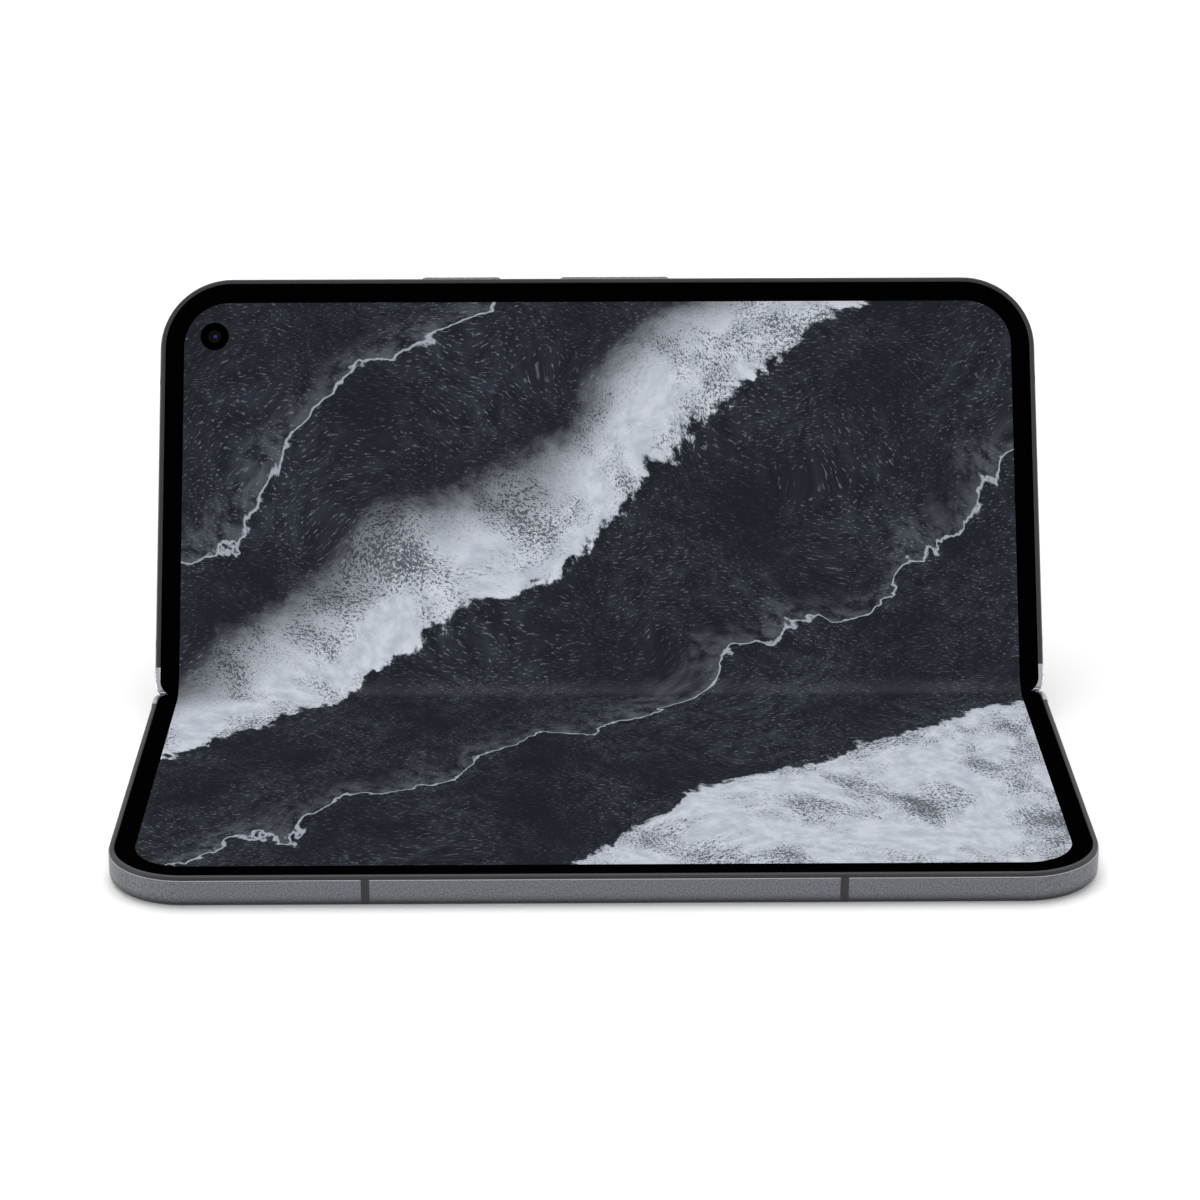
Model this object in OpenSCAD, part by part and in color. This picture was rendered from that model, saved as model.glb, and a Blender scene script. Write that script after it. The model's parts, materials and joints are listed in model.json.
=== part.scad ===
// Foldable phone standing half open: the lower half lies flat on its cover glass,
// the upper half leans back, and one folding screen runs over both.
// X runs along the hinge, Y to the back, Z up.
// Origin: centre of the face that the lower half rests on.
// Each half is drawn in its own half frame: x along the hinge, y out from the middle
// of the fold, z = 0 at the lip and negative into the body.

/* [Body] */
// Length along the hinge
body_w = 155.2; // [152:0.2:165]
// Middle of the fold to the far edge of a half, when open flat
half_l = 75.1; // [74:0.1:80]
// Thickness of one half, lip to back
half_t = 5.1; // [5.1:0.05:5.6]
// Radius of the far corners in plan
corner_r = 12.7; // [10:0.1:14]
// Radius of the hinge corners in plan
hinge_corner_r = 3.9; // [3.7:0.1:4.1]
// Start of the hinge corner rounding, from the middle of the fold
hinge_corner_y = 3.1; // [2.8:0.1:3.4]
// Turn of each of the two hinge axes from flat, as the phone stands
rest_turn = 30; // [20:1:35]

/* [Frame] */
// Thickness of the metal side walls
wall_t = 2.2; // [2:0.1:2.6]
// Radius of the wall's back edge
edge_r = 1.2; // [0.8:0.1:1.25]
// Small bevel of the wall's front edge
edge_bevel = 0.12; // [0.05:0.01:0.2]
// Thickness of the mid plate
web_t = 0.6; // [0.55:0.05:0.7]
// Thickness of the wall between the hinge bay and the inside
bay_wall_t = 0.6; // [0.4:0.05:0.65]
// Gap between the frame end and the middle of the fold
end_gap = 0.1; // [0.05:0.01:0.15]
// Bevel along the outer hinge edge
hinge_bevel = 0.3; // [0.2:0.05:0.4]
// Width of the antenna inserts
band_w = 1.3; // [0.8:0.1:1.4]
// Depth of the antenna inserts into the wall
band_d = 1.3; // [1:0.05:1.5]
// Antenna inserts of the far edge, each side of the middle
band_x = 36.8; // [30:0.1:45]
// Antenna inserts of the side edges near the hinge, from the middle of the fold
band_near = 9.6; // [9:0.1:12]
// Antenna inserts of the side edges near the far edge, from the far edge
band_far = 18.5; // [15:0.5:22]

/* [Rim] */
// Height of the soft rim round the screen
rim_h = 0.6; // [0.5:0.05:0.7]
// Width of the rim
rim_t = 0.8; // [0.6:0.05:0.9]
// Distance of the rim's foot from the frame outline
rim_inset = 0.15; // [0.1:0.05:0.25]
// Radius of the rim's outer top edge
rim_r = 0.3; // [0.2:0.05:0.35]
// End of the rim, from the middle of the fold
rim_end = 5.3; // [4.6:0.1:5.4]

/* [Folding screen] */
// Depth of the screen surface below the lip
screen_drop = 0.25; // [0.2:0.01:0.35]
// Thickness of the screen
panel_t = 0.6; // [0.5:0.05:0.6]
// Thickness of the black border film
film_t = 0.12; // [0.08:0.01:0.15]
// Thickness of the plate under the screen
plate_t = 0.25; // [0.2:0.01:0.3]
// Width of the black border at the sides
border_side = 3.25; // [3:0.05:5]
// Width of the black border at the far edges
border_end = 3.4; // [2.6:0.05:5]
// Corner radius of the lit area
active_r = 8.0; // [6:0.1:9]
// Half length of the stretch that bends
fold_l = 5.6; // [5.5:0.05:5.8]
// Inner radius of the bend, as the phone stands
fold_r = 6.0; // [5:0.1:6.4]
// Gap between the screen's edge and the rim
screen_gap = 0.05; // [0.03:0.01:0.1]
// Width that the screen loses at each end of the bend
fold_neck = 2.0; // [1.8:0.1:2.2]

/* [Hinge] */
// Distance of each hinge axis from the middle of the fold
axis_y = 2.0; // [1.95:0.05:2.1]
// Gap between the lips when closed
closed_gap = 0.3; // [0.25:0.01:0.35]
// Outer radius of the spine about each axis
spine_r = 2.63; // [2.55:0.01:2.65]
// Thickness of the spine's wall
spine_t = 0.6; // [0.5:0.05:0.7]
// Running gap between the spine and the halves
bay_gap = 0.12; // [0.08:0.01:0.15]
// Gap between the spine's ends and the frames
spine_end_gap = 0.2; // [0.15:0.05:0.3]
// Width of the solid frame end outside each end of the spine
cheek_w = 4.1; // [3.9:0.1:4.5]
// Distance of the two geared hinge units from the spine's ends
unit_end = 15.3; // [12:0.1:17]
// Radius of the hinge pins and idler shafts
pin_r = 0.3; // [0.25:0.01:0.3]
// Running gap of the pins in their bores
pin_gap = 0.03; // [0.02:0.005:0.05]
// Teeth of each gear
gear_teeth = 8; // [8:4:8]
// Height of a gear tooth above the pitch circle
tooth_h = 0.13; // [0.1:0.01:0.13]
// Width of a gear tooth on the pitch circle
tooth_w = 0.21; // [0.18:0.01:0.22]
// Radius of the plain knuckle
knuckle_r = 0.8; // [0.75:0.01:0.82]
// Width of the geared knuckles along the hinge
knuckle_w = 3.0; // [2.5:0.1:4]
// Width of the plain knuckle in the middle, which the clips grip
grip_w = 8.0; // [7:0.1:10]
// Thickness of the friction clips
clip_t = 0.35; // [0.25:0.01:0.4]
// Width of a hinge block
block_w = 2.4; // [2:0.1:3]
// Side gap between knuckles and blocks
side_gap = 0.05; // [0.03:0.01:0.08]
// Length of a hinge block's screwed foot
block_foot = 2.2; // [2:0.1:3]
// Thickness of the leaf arms
arm_t = 0.55; // [0.45:0.01:0.55]
// Width of a leaf arm's foot along the hinge
foot_w = 14; // [12:0.5:15]
// Start of a leaf arm's foot, from the middle of the fold
foot_start = 6.2; // [6:0.1:6.6]
// End of a leaf arm's foot
foot_end = 12.2; // [11:0.1:12.4]
// Gap round a leaf arm in its pocket
pocket_gap = 0.1; // [0.05:0.01:0.15]
// Thickness of the pads under the leaf arms
pad_t = 1.2; // [1.1:0.1:1.4]
// Radius of the hinge screws
screw_r = 0.35; // [0.3:0.01:0.4]

/* [Back] */
// Thickness of the cover glass and the back cover
glass_t = 0.6; // [0.5:0.05:0.65]
// Distance of the glass pocket from the frame outline
glass_inset = 1.3; // [1.3:0.05:1.5]
// Gap round the glass
glass_gap = 0.05; // [0.03:0.01:0.1]
// Start of the glass, from the middle of the fold
glass_y = 5.6; // [5.55:0.05:6.5]
// Thickness of the cover display behind the cover glass
cover_t = 0.6; // [0.5:0.05:0.7]

/* [Cameras] */
// Distance of the camera in the folding screen from the side edge
selfie_side = 9.6; // [9:0.1:16]
// Distance of the camera in the folding screen from the far edge
selfie_end = 10.5; // [9.8:0.1:15]
// Radius of its barrel
selfie_r = 1.15; // [1:0.05:1.5]
// Radius of the black disc round it
selfie_disc_r = 2.5; // [2.2:0.05:2.8]
// Length of the camera island along the hinge
island_l = 44; // [43:1:50]
// Width of the camera island
island_w = 16; // [14.5:0.5:18]
// Height of the camera island above the back
island_h = 1.7; // [1.4:0.1:2.2]
// Distance of the camera island's centre from the side edge
island_side = 30.6; // [29.6:0.1:33]
// Distance of the camera island's centre from the far edge
island_end = 17.1; // [15:0.1:18]
// Distance between the lenses
lens_pitch = 11; // [10.9:0.1:11.4]
// Radius of a lens window
lens_r = 4.2; // [3.6:0.1:4.3]
// Width of a lens ring
ring_t = 0.7; // [0.5:0.05:0.8]
// Radius of the flash window
flash_r = 1.8; // [1.4:0.1:2]
// Distance of the camera in the cover display from the side edge
cover_camera_side = 7.6; // [6.6:0.1:8]

/* [Keys and openings] */
// Centre of the power key along the far edge
power_x = -24.3; // [-27:0.1:-22]
// Length of the power key
power_l = 14.0; // [12:0.1:15]
// Centre of the volume rocker along the far edge
volume_x = 3.05; // [1:0.05:6]
// Length of the volume rocker
volume_l = 19.3; // [17:0.1:21]
// Height of the keys
key_h = 2.2; // [2:0.05:2.3]
// How far the keys stand out
key_out = 0.6; // [0.3:0.05:0.7]
// Depth of a key in the wall
key_d = 1.2; // [1.1:0.05:1.2]
// Running gap round a key
key_gap = 0.06; // [0.04:0.01:0.1]
// Travel of a key
key_travel = 0.25; // [0.15:0.01:0.25]
// Width of the charging socket opening
usb_w = 8.34; // [8.34:0.01:8.6]
// Height of the charging socket opening
usb_h = 2.56; // [2.5:0.01:2.6]
// Length of the card tray along the edge
tray_l = 13.0; // [12:0.1:14]
// Depth of the card tray
tray_d = 16.0; // [15:0.5:17]
// Height of the card tray's front
tray_h = 1.3; // [1.2:0.05:1.4]
// Centre of the card tray, from the middle of the fold
tray_y = 27; // [25:0.5:30]
// Running gap round the card tray
tray_gap = 0.05; // [0.03:0.01:0.08]

/* [Inside] */
// Length of the lower board along the hinge
lower_board_l = 31; // [28:1:40]
// Length of the main board along the hinge
main_board_l = 47.5; // [44:0.5:56]
// Gap between the batteries and the far wall
battery_end = 5.9; // [4:0.1:10]
// Thickness of the circuit boards
board_t = 0.8; // [0.6:0.1:1]
// Gap of the inner parts to what carries them
seat_gap = 0.05; // [0.03:0.01:0.1]
// Outer radius of the charging coil
coil_r = 20; // [18:0.5:24]
// Width of the hinge flex
flex_w = 10; // [8:0.5:12]
// Thickness of the hinge flex
flex_t = 0.15; // [0.12:0.01:0.2]
// Distance of the hinge flex from the middle of the geared hinge unit
flex_off = 17; // [15.5:0.5:20]

/* [Hidden] */
$fn = 48;
EPS = 0.01;
// Overlap that joins the parts of one solid
join = 0.2;

hw = body_w / 2;
mid_y = (half_l + end_gap) / 2;

// Levels in a half, from the lip down
z_screen = -screen_drop;
z_panel = z_screen - panel_t;
z_plate = z_panel - plate_t;
z_web = z_plate - web_t;
z_back = -half_t;
z_glass = z_back + glass_t;
z_cover = z_glass + cover_t;
z_axis = closed_gap / 2 - axis_y;
z_bay = z_axis - spine_r - bay_gap;
z_key = (z_back - rim_h + 0.6) / 2;

// Frame
rim_bevel = 0.15;
screen_inset = rim_inset + rim_t + screen_gap;
active_w = 2 * (hw - screen_inset - border_side);
active_l = half_l - screen_inset - border_end;
band_y = [band_near, half_l - band_far];
cheek_x = hw - cheek_w;
bay_y = axis_y + spine_r + 2 * bay_gap;
inside_y = bay_y + bay_wall_t;
hinge_corner_x = hw - hinge_corner_r;
inner_hw = hw - wall_t;
inner_end = half_l - wall_t;
flex_gap = 0.3;
flex_slot_end = inside_y + 2.3;

// Bend of the screen, in the spine's frame: an arc that touches both flat stretches
screen_h = z_screen - z_axis;
fold_centre_z = z_axis + screen_h / cos(rest_turn) - axis_y * tan(rest_turn)
    + fold_r / cos(rest_turn);
fold_under_z = fold_centre_z - fold_r - panel_t;
fold_hw = hw - screen_inset - fold_neck;
// The strip that carries the middle of the bend
strip_gap = 0.02;
strip_t = 0.1;
strip_hw = 0.5;

// Hinge
spine_hl = cheek_x - spine_end_gap;
spine_floor = z_axis - spine_r + spine_t;
unit_x = spine_hl - unit_end;
flex_x = flex_off - unit_x;
idler_y = axis_y / 3;
tip_r = idler_y + tooth_h;
root_r = idler_y - tooth_h - 0.05;
bore_r = pin_r + pin_gap;
block_edge = bore_r + 0.3;
block_waist = 1.15;
block_foot_t = 0.9;
block_floor_hw = axis_y - 0.05;
screw_head_t = 0.3;
screw_inset = 2;
hole_floor = 0.2;
screw_tip = hole_floor + 0.1;
pin_short = 0.3;
pad_margin = 1;
arm_root_t = 0.35;
arm_taper = 0.9;
clip_leg = 0.9;
clip_side = 0.5;
clip_mouth = [-5, 155];
// Each hinge unit: place, knuckle width, geared or plain
units = [[-unit_x, knuckle_w, true], [0, grip_w, false], [unit_x, knuckle_w, true]];

// Places of the cameras
selfie_x = selfie_side - hw;
selfie_y = half_l - selfie_end;
cover_camera_x = cover_camera_side - hw;
island_x = island_side - hw;
island_y = half_l - island_end;

// Lenses and flash on the island
lens_x = [for (i = [-1, 0, 1]) island_x - 4 + i * lens_pitch];
flash_x = island_x + island_l / 2 - 5;
island_bevel = 0.4;
ring_sink = 0.3;
ring_out = 0.35;
lens_t = 0.6;
lens_sink = 0.1;
flash_t = 0.9;
flash_out = 0.05;
z_island = z_back - island_h;
// Barrels of the cameras: the wide part inside, the narrow part in its hole
barrel_out = 0.5;
barrel_in = 0.6;
z_barrel = z_island + 0.5;
selfie_h = 2;
barrel_step = 1.1;
cover_camera_r = 1.8;

// Keys: the flange behind each key holds it in the wall
flange_l = 0.8;
flange_t = 0.4;
flange_gap = 0.02;
cap_room = 0.6;
rocker_gap = 0.1;
rocker_turn = 1.0;
rocker_reach = 6;
rocker_back = 0.25;
pivot_y = inner_end - 0.2;
dome_t = 0.3;
dome_r = 0.65;
switch_y = inner_end - 0.3;
switch_strip_t = 0.3;
strip_end = 2;
press_gap = 0.03;
plunger_r = 0.5;
lug_r = 0.8;
lug_h = 1.2;
lug_room = 0.4;
z_pivot_top = z_web + 0.3;

// Sockets and card tray
usb_shell = 0.3;
usb_d = 6.5;
usb_back = 0.5;
usb_y = mid_y;
usb_z = z_glass + usb_h / 2 + usb_shell + 0.02;
tongue_w = 6.7;
tongue_t = 0.7;
tongue_back = 0.6;
tray_z = (z_web + z_cover) / 2;
tray_plate_w = tray_l - 2;
tray_plate_t = 0.8;
tray_edge = 1.2;
card_w = 8.8;
card_t = 0.65;
hole_r = 0.5;
hole_side = 2.2;
mic_side = 11;

// Inside
part_gap = 0.1;
corner_y = half_l - corner_r;
speaker_l = 17;
speaker_w = 16;
speaker_end = 0.6;
speaker_room = 8.4;
speaker_y = [corner_y + speaker_end - speaker_w, corner_y + speaker_end];
speaker_holes = 6;
speaker_pitch = 2.4;
earpiece_l = 7.4;
earpiece_w = 12;
earpiece_end = 4.4;
earpiece_y = [corner_y - earpiece_end - earpiece_w, corner_y - earpiece_end];
earpiece_holes = 4;
earpiece_pitch = 3;
motor_l = 10;
motor_w = 12;
motor_side = 7.4;
motor_end = 1.6;
motor_x = [inner_hw - motor_side - motor_l, inner_hw - motor_side];
motor_y = [corner_y + motor_end - motor_w, corner_y + motor_end];
// Boards: gap to the side wall, to the leaf arms' pads, to the far wall and to a battery
lower_board_side = 9.4;
main_board_side = 0.9;
board_start = 0.8;
board_far = 4.9;
board_gap = 3;
board_y = foot_end + pad_margin + board_start;
board_end = inner_end - board_far;
lower_board_x = [lower_board_side - inner_hw, lower_board_side + lower_board_l - inner_hw];
main_board_x = [main_board_side - inner_hw, main_board_side + main_board_l - inner_hw];
main_board_far = 4;
main_board_end = island_y - island_w / 2 - main_board_far;
flex_end = board_y - seat_gap;
// Batteries fill what the boards and the parts at the other side leave
battery_start = 1.8;
reader_room = 7.4;
battery_y = foot_end + pad_margin + battery_start;
battery_d = inner_end - battery_end - battery_y;
lower_battery_x = [lower_board_x[1] + board_gap, inner_hw - tray_d - reader_room];
upper_battery_x = [main_board_x[1] + board_gap, inner_hw - speaker_l - speaker_room];
can_margin = 2.5;
can_gap = 2;
can_y = [board_y + can_margin, main_board_end - can_margin];
can_l = (main_board_l - 2 * can_margin - can_gap) / 2;
can_x = [main_board_x[0] + can_margin, main_board_x[1] - can_margin - can_l];
can_t = 0.2;
coil_x = (upper_battery_x[0] + upper_battery_x[1]) / 2;
coil_t = 0.3;
coil_w = 8;

// Colours
metal = "#66676c";
soft = "#454449";
black = "#0b0b0d";
board_green = "#20402c";
silver = "#b9bbc0";
gold = "#b08d4c";
glass = "#1a1c20";

// Places of the three moving frames

module at_lower() translate([0, mid_y, half_t]) mirror([0, 1, 0]) children();

module at_spine()
    translate([0, mid_y - axis_y, half_t + z_axis]) rotate([rest_turn, 0, 0])
        translate([0, axis_y, -z_axis]) children();

module at_upper()
    at_spine() translate([0, axis_y, z_axis]) rotate([rest_turn, 0, 0])
        translate([0, -axis_y, -z_axis]) children();

// Helpers

// Extrudes a section drawn as (y, z) along the hinge, centred on x
module along_x(x, len) translate([x - len / 2, 0, 0]) rotate([90, 0, 90]) linear_extrude(len) children();

// Extrudes a section drawn as (x, z) towards the fold, starting at y1
module along_y(y1, len) translate([0, y1, 0]) rotate([90, 0, 0]) linear_extrude(len) children();

// Extrudes a plan shape between two levels
module between(z0, z1) translate([0, 0, z0]) linear_extrude(z1 - z0) children();

// Both ends of the hinge
module pair() for (s = [0, 1]) mirror([s, 0, 0]) children();

module slab(x, y, z) translate([x[0], y[0], z[0]]) cube([x[1] - x[0], y[1] - y[0], z[1] - z[0]]);

// Slot shape with round ends
module pill2d(len, h) {
    square([len - h, h], center = true);
    for (s = [-1, 1]) translate([s * (len - h) / 2, 0]) circle(h / 2);
}

// Plan shape with its two far corners rounded
module tray2d(w, y0, y1, r) {
    translate([-w / 2, y0]) square([w, y1 - y0 - r]);
    translate([-w / 2 + r, y0]) square([w - 2 * r, y1 - y0]);
    for (s = [-1, 1]) translate([s * (w / 2 - r), y1 - r]) circle(r);
}

// Plan shape of a half, drawn in by a distance, from y0 on
module inset2d(d, y0) tray2d(2 * (hw - d), y0, half_l - d, corner_r - d);

// Sweeps a section, drawn as (distance out from the outline, z), round the far end
// of a half, starting at y0 on both sides
module u_sweep(y0) {
    pair() translate([hw, 0, 0]) along_y(half_l - corner_r, half_l - corner_r - y0) children();
    pair() translate([hw - corner_r, half_l - corner_r, 0])
        rotate_extrude(angle = 90) translate([corner_r, 0]) children();
    translate([0, half_l, 0]) along_x(0, 2 * (hw - corner_r)) children();
}

// The same round the two hinge corners, from y1 on both sides
module hinge_corner_sweep(y1) {
    pair() translate([hw, 0, 0]) along_y(y1, y1 - hinge_corner_y) children();
    pair() translate([hinge_corner_x, hinge_corner_y, 0]) rotate([0, 0, -90])
        rotate_extrude(angle = 90) translate([hinge_corner_r, 0]) children();
}

// Frame

// Section of the side wall: a round back edge, a ledge for the screen, a pocket for the glass
module rail2d() difference() {
    union() {
        polygon([[-wall_t, z_back], [-edge_r, z_back], [0, z_back + edge_r],
            [0, -rim_h - edge_bevel], [-edge_bevel, -rim_h], [-wall_t, -rim_h]]);
        translate([-edge_r, z_back + edge_r]) circle(edge_r);
    }
    translate([-wall_t - 1, z_back - 1]) square([1, half_t + 1]);
    translate([-wall_t - 1, z_plate]) square([wall_t + 1 - rim_inset - rim_t, half_t]);
    translate([-wall_t - 1, z_back - 1]) square([wall_t + 1 - glass_inset, glass_t + 1]);
}

// Section of the soft rim
module rim2d() {
    polygon([[-rim_inset - rim_t, -rim_h], [-rim_inset, -rim_h], [-rim_inset, -rim_r],
        [-rim_inset - rim_r, 0], [rim_bevel - rim_inset - rim_t, 0], [-rim_inset - rim_t, -rim_bevel]]);
    translate([-rim_inset - rim_r, -rim_r]) circle(rim_r);
}

// Section of the metal lip that takes the rim's place round the hinge corners
module lip2d() {
    polygon([[-rim_inset - rim_t, -rim_h - edge_bevel], [0, -rim_h - edge_bevel], [0, -rim_r],
        [-rim_r, 0], [rim_bevel - rim_inset - rim_t, 0], [-rim_inset - rim_t, -rim_bevel]]);
    translate([-rim_r, -rim_r]) circle(rim_r);
}

// Side view of a half: it ends in an arc about its hinge axis, and flat below the axis
module end2d() {
    polygon([[end_gap, z_axis], [end_gap, z_back + hinge_bevel], [end_gap + hinge_bevel, z_back],
        [half_l, z_back], [half_l, 0], [axis_y, 0], [axis_y, z_axis]]);
    intersection() {
        translate([axis_y, z_axis]) circle(axis_y - end_gap);
        translate([0, z_axis]) square([axis_y, -z_axis]);
    }
}

// Plan of the solid frame end beside the spine
module cheek2d() intersection() {
    union() {
        translate([hinge_corner_x, hinge_corner_y]) circle(hinge_corner_r - edge_r);
        translate([cheek_x, hinge_corner_y])
            square([cheek_w - edge_r, inside_y - hinge_corner_y]);
        translate([cheek_x, 0]) square([hinge_corner_x - cheek_x, inside_y]);
    }
    translate([cheek_x, 0]) square([cheek_w, inside_y]);
}

// Room in the mid plate for the leaf arms
module arm_pockets() for (u = units) {
    slab([u[0] - u[1] / 2 - pocket_gap, u[0] + u[1] / 2 + pocket_gap],
        [bay_y - 1, foot_start], [z_web, z_plate + 1]);
    slab([u[0] - foot_w / 2 - pocket_gap, u[0] + foot_w / 2 + pocket_gap],
        [foot_start - pocket_gap, foot_end + pocket_gap], [z_web, z_plate + 1]);
}

module arm_pads() for (u = units)
    slab([u[0] - foot_w / 2 - pad_margin, u[0] + foot_w / 2 + pad_margin],
        [bay_y, foot_end + pad_margin], [z_web - pad_t, z_web]);

// Places of the leaf arm screws
module at_leaf_screws() for (u = units, s = [-1, 1])
    translate([u[0] + s * (foot_w / 2 - screw_inset), (foot_start + foot_end) / 2, z_web]) children();

// One antenna insert at each place, as a box or cut to a section
module at_bands() {
    for (s = [-1, 1]) translate([s * band_x, half_l, 0]) rotate([0, 0, 90]) children();
    pair() for (y = band_y) translate([hw, y, 0]) children();
}

module antenna_bands() intersection() {
    at_bands() along_y(band_w / 2, band_w) rail2d();
    at_bands() slab([-band_d, 1], [-band_w, band_w], [z_back - 1, 0]);
}

module band_slots() at_bands() slab([-band_d, 1], [-band_w / 2, band_w / 2], [z_back - 1, -rim_h]);

// The metal of a half without the openings that only one half has
module frame() difference() {
    intersection() {
        union() {
            u_sweep(hinge_corner_y) rail2d();
            hinge_corner_sweep(hinge_corner_y + EPS) rail2d();
            hinge_corner_sweep(rim_end) lip2d();
            between(z_web, z_plate) inset2d(wall_t - join, bay_y);
            pair() between(z_back, z_plate) cheek2d();
            slab([-cheek_x - join, cheek_x + join], [end_gap, inside_y], [z_back, z_bay]);
            slab([-cheek_x - join, cheek_x + join], [bay_y, inside_y], [z_back, z_plate]);
            arm_pads();
        }
        along_x(0, body_w + 2) end2d();
    }
    arm_pockets();
    band_slots();
    at_leaf_screws() translate([0, 0, -pad_t + hole_floor]) cylinder(pad_t, r = screw_r);
    slab([flex_x - flex_w / 2 - flex_gap, flex_x + flex_w / 2 + flex_gap],
        [bay_y - 1, flex_slot_end], [z_web - EPS, z_plate + 1]);
}

module rim() u_sweep(rim_end) rim2d();

// Black end pieces beside the bend, inside the metal lip
module corner_guards() intersection() {
    pair() between(z_plate, z_screen + film_t) intersection() {
        union() {
            translate([hinge_corner_x, hinge_corner_y])
                circle(hinge_corner_r - screen_inset);
            translate([hinge_corner_x, hinge_corner_y])
                square([hinge_corner_r - screen_inset, fold_l - screen_gap - hinge_corner_y]);
        }
        translate([fold_hw + screen_gap, 0]) square([cheek_w, fold_l - screen_gap]);
    }
    along_x(0, body_w) end2d();
}

// Folding screen, the stretches on the halves

module screen2d() inset2d(screen_inset, fold_l);

module active2d() tray2d(active_w, fold_l - 1, active_l, active_r);

module border() between(z_screen, z_screen + film_t) difference() {
    screen2d();
    active2d();
}

module screen() between(z_panel, z_screen) screen2d();

module screen_plate() between(z_plate, z_panel) screen2d();

// Folding screen, the stretch that bends

// A point of the upper half's frame as the spine's frame has it
function to_spine(p) = let (q = p - [axis_y, z_axis])
    [axis_y + q[0] * cos(rest_turn) - q[1] * sin(rest_turn),
        z_axis + q[0] * sin(rest_turn) + q[1] * cos(rest_turn)];

// Line at a depth below the screen's surface: flat, round the bend, flat
function bend_line(depth) = let (end = to_spine([fold_l, z_screen - depth])) concat(
    [[-end[0], end[1]]],
    [for (a = [-rest_turn : rest_turn / 8 : rest_turn + EPS])
        [0, fold_centre_z] + (fold_r + depth) * [sin(a), -cos(a)]],
    [end]);

// Section of the bend between two depths below the screen's surface
module bend2d(top, bottom) {
    under = bend_line(bottom);
    polygon(concat(bend_line(top), [for (i = [len(under) - 1 : -1 : 0]) under[i]]));
}

module fold_display() color(glass) at_spine() along_x(0, 2 * fold_hw) bend2d(0, panel_t);

module fold_bezel_strips() color(black) at_spine()
    pair() along_x((active_w / 2 + fold_hw) / 2, fold_hw - active_w / 2) bend2d(-film_t, 0);

// Route of the flex in a half, and its low middle in the spine
flex_half = [[flex_end, z_web - 0.2], [flex_slot_end + 0.6, z_web - 0.2],
    [flex_slot_end - 1.1, z_web + 0.13], [bay_y - 0.17, z_web + 0.13]];
flex_middle = [[axis_y + 0.2, z_axis - 0.5], [axis_y - 1, z_axis - 1.1]];

flex_side = concat([for (p = flex_half) to_spine(p)], flex_middle);
flex_route = concat(flex_side,
    [for (i = [len(flex_side) - 1 : -1 : 0]) [-flex_side[i][0], flex_side[i][1]]]);

module hinge_flex() color(gold) at_spine() along_x(flex_x, flex_w) polygon(concat(
    [for (p = flex_route) p + [0, flex_t / 2]],
    [for (i = [len(flex_route) - 1 : -1 : 0]) flex_route[i] - [0, flex_t / 2]]));

// Hinge

// Wedge between two angles, wider than any hinge part
module wedge2d(angles) polygon([[0, 0], for (i = [0 : 4])
    let (a = angles[0] + i * (angles[1] - angles[0]) / 4) half_t * [cos(a), sin(a)]]);

// Gear with straight-sided teeth; the first tooth points along y at turn 0
module gear2d(turn) {
    tooth = [[root_r, -1.4 * tooth_w], [idler_y, -tooth_w], [tip_r, -0.48 * tooth_w],
        [tip_r, 0.48 * tooth_w], [idler_y, tooth_w], [root_r, 1.4 * tooth_w]];
    rotate(turn) polygon([for (i = [0 : gear_teeth - 1], p = tooth)
        let (a = i * 360 / gear_teeth + p[1] / 2 / p[0] * 180 / PI) p[0] * [cos(a), sin(a)]]);
}

module at_axis2d() translate([axis_y, z_axis]) children();

// Leaf arms of a half: a knuckle round each pin and a foot screwed to the frame
module leaf_arms(turn) difference() {
    for (u = units) {
        along_x(u[0], u[1]) difference() {
            union() {
                at_axis2d() {
                    if (u[2]) gear2d(turn);
                    else circle(knuckle_r);
                }
                polygon([[axis_y, z_web], [axis_y, z_web + arm_root_t],
                    [axis_y + arm_taper, z_web + arm_t], [foot_start + join, z_web + arm_t],
                    [foot_start + join, z_web]]);
            }
            at_axis2d() circle(pin_r);
        }
        slab([u[0] - foot_w / 2, u[0] + foot_w / 2], [foot_start, foot_end],
            [z_web, z_web + arm_t]);
    }
    at_leaf_screws() {
        translate([0, 0, -EPS]) cylinder(arm_t + 1, r = screw_r);
        translate([0, 0, arm_t - screw_head_t]) cylinder(1, r = 3 * screw_r);
    }
}

module hinge_pins() for (u = units)
    along_x(u[0], u[1] + 2 * side_gap + 2 * block_w - pin_short) at_axis2d() circle(pin_r);

module leaf_screws() at_leaf_screws() {
    translate([0, 0, -pad_t + screw_tip]) cylinder(pad_t - screw_tip + arm_t - screw_head_t, r = screw_r);
    translate([0, 0, arm_t - screw_head_t]) cylinder(screw_head_t, r = 3 * screw_r - EPS);
}

// Outer shape of the spine, or its hollow, in the spine's frame
module spine2d(r) intersection() {
    union() {
        for (s = [-1, 1]) translate([s * axis_y, z_axis]) circle(r);
        translate([-axis_y, z_axis - r]) square([2 * axis_y, r]);
    }
    translate([-half_t, z_axis - half_t]) square([2 * half_t, half_t]);
}

module spine_cover() color(metal) at_spine() difference() {
    along_x(0, 2 * spine_hl) spine2d(spine_r);
    along_x(0, 2 * (spine_hl - spine_t)) {
        spine2d(spine_r - spine_t);
        translate([-axis_y - spine_r + spine_t, z_axis]) square([2 * (axis_y + spine_r - spine_t), 1]);
    }
    at_block_screws() translate([0, 0, spine_floor - spine_t + hole_floor]) cylinder(1, r = screw_r);
}

// Ends of the two blocks of each unit: side and place of the knuckle's side face
module at_blocks() for (u = units, s = [-1, 1])
    translate([u[0] + s * (u[1] / 2 + side_gap + block_w / 2), 0, 0]) mirror([s < 0 ? 1 : 0, 0, 0])
        children();

module at_block_screws() at_blocks() translate([block_w / 2 + block_foot / 2, 0, 0]) children();

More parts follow.
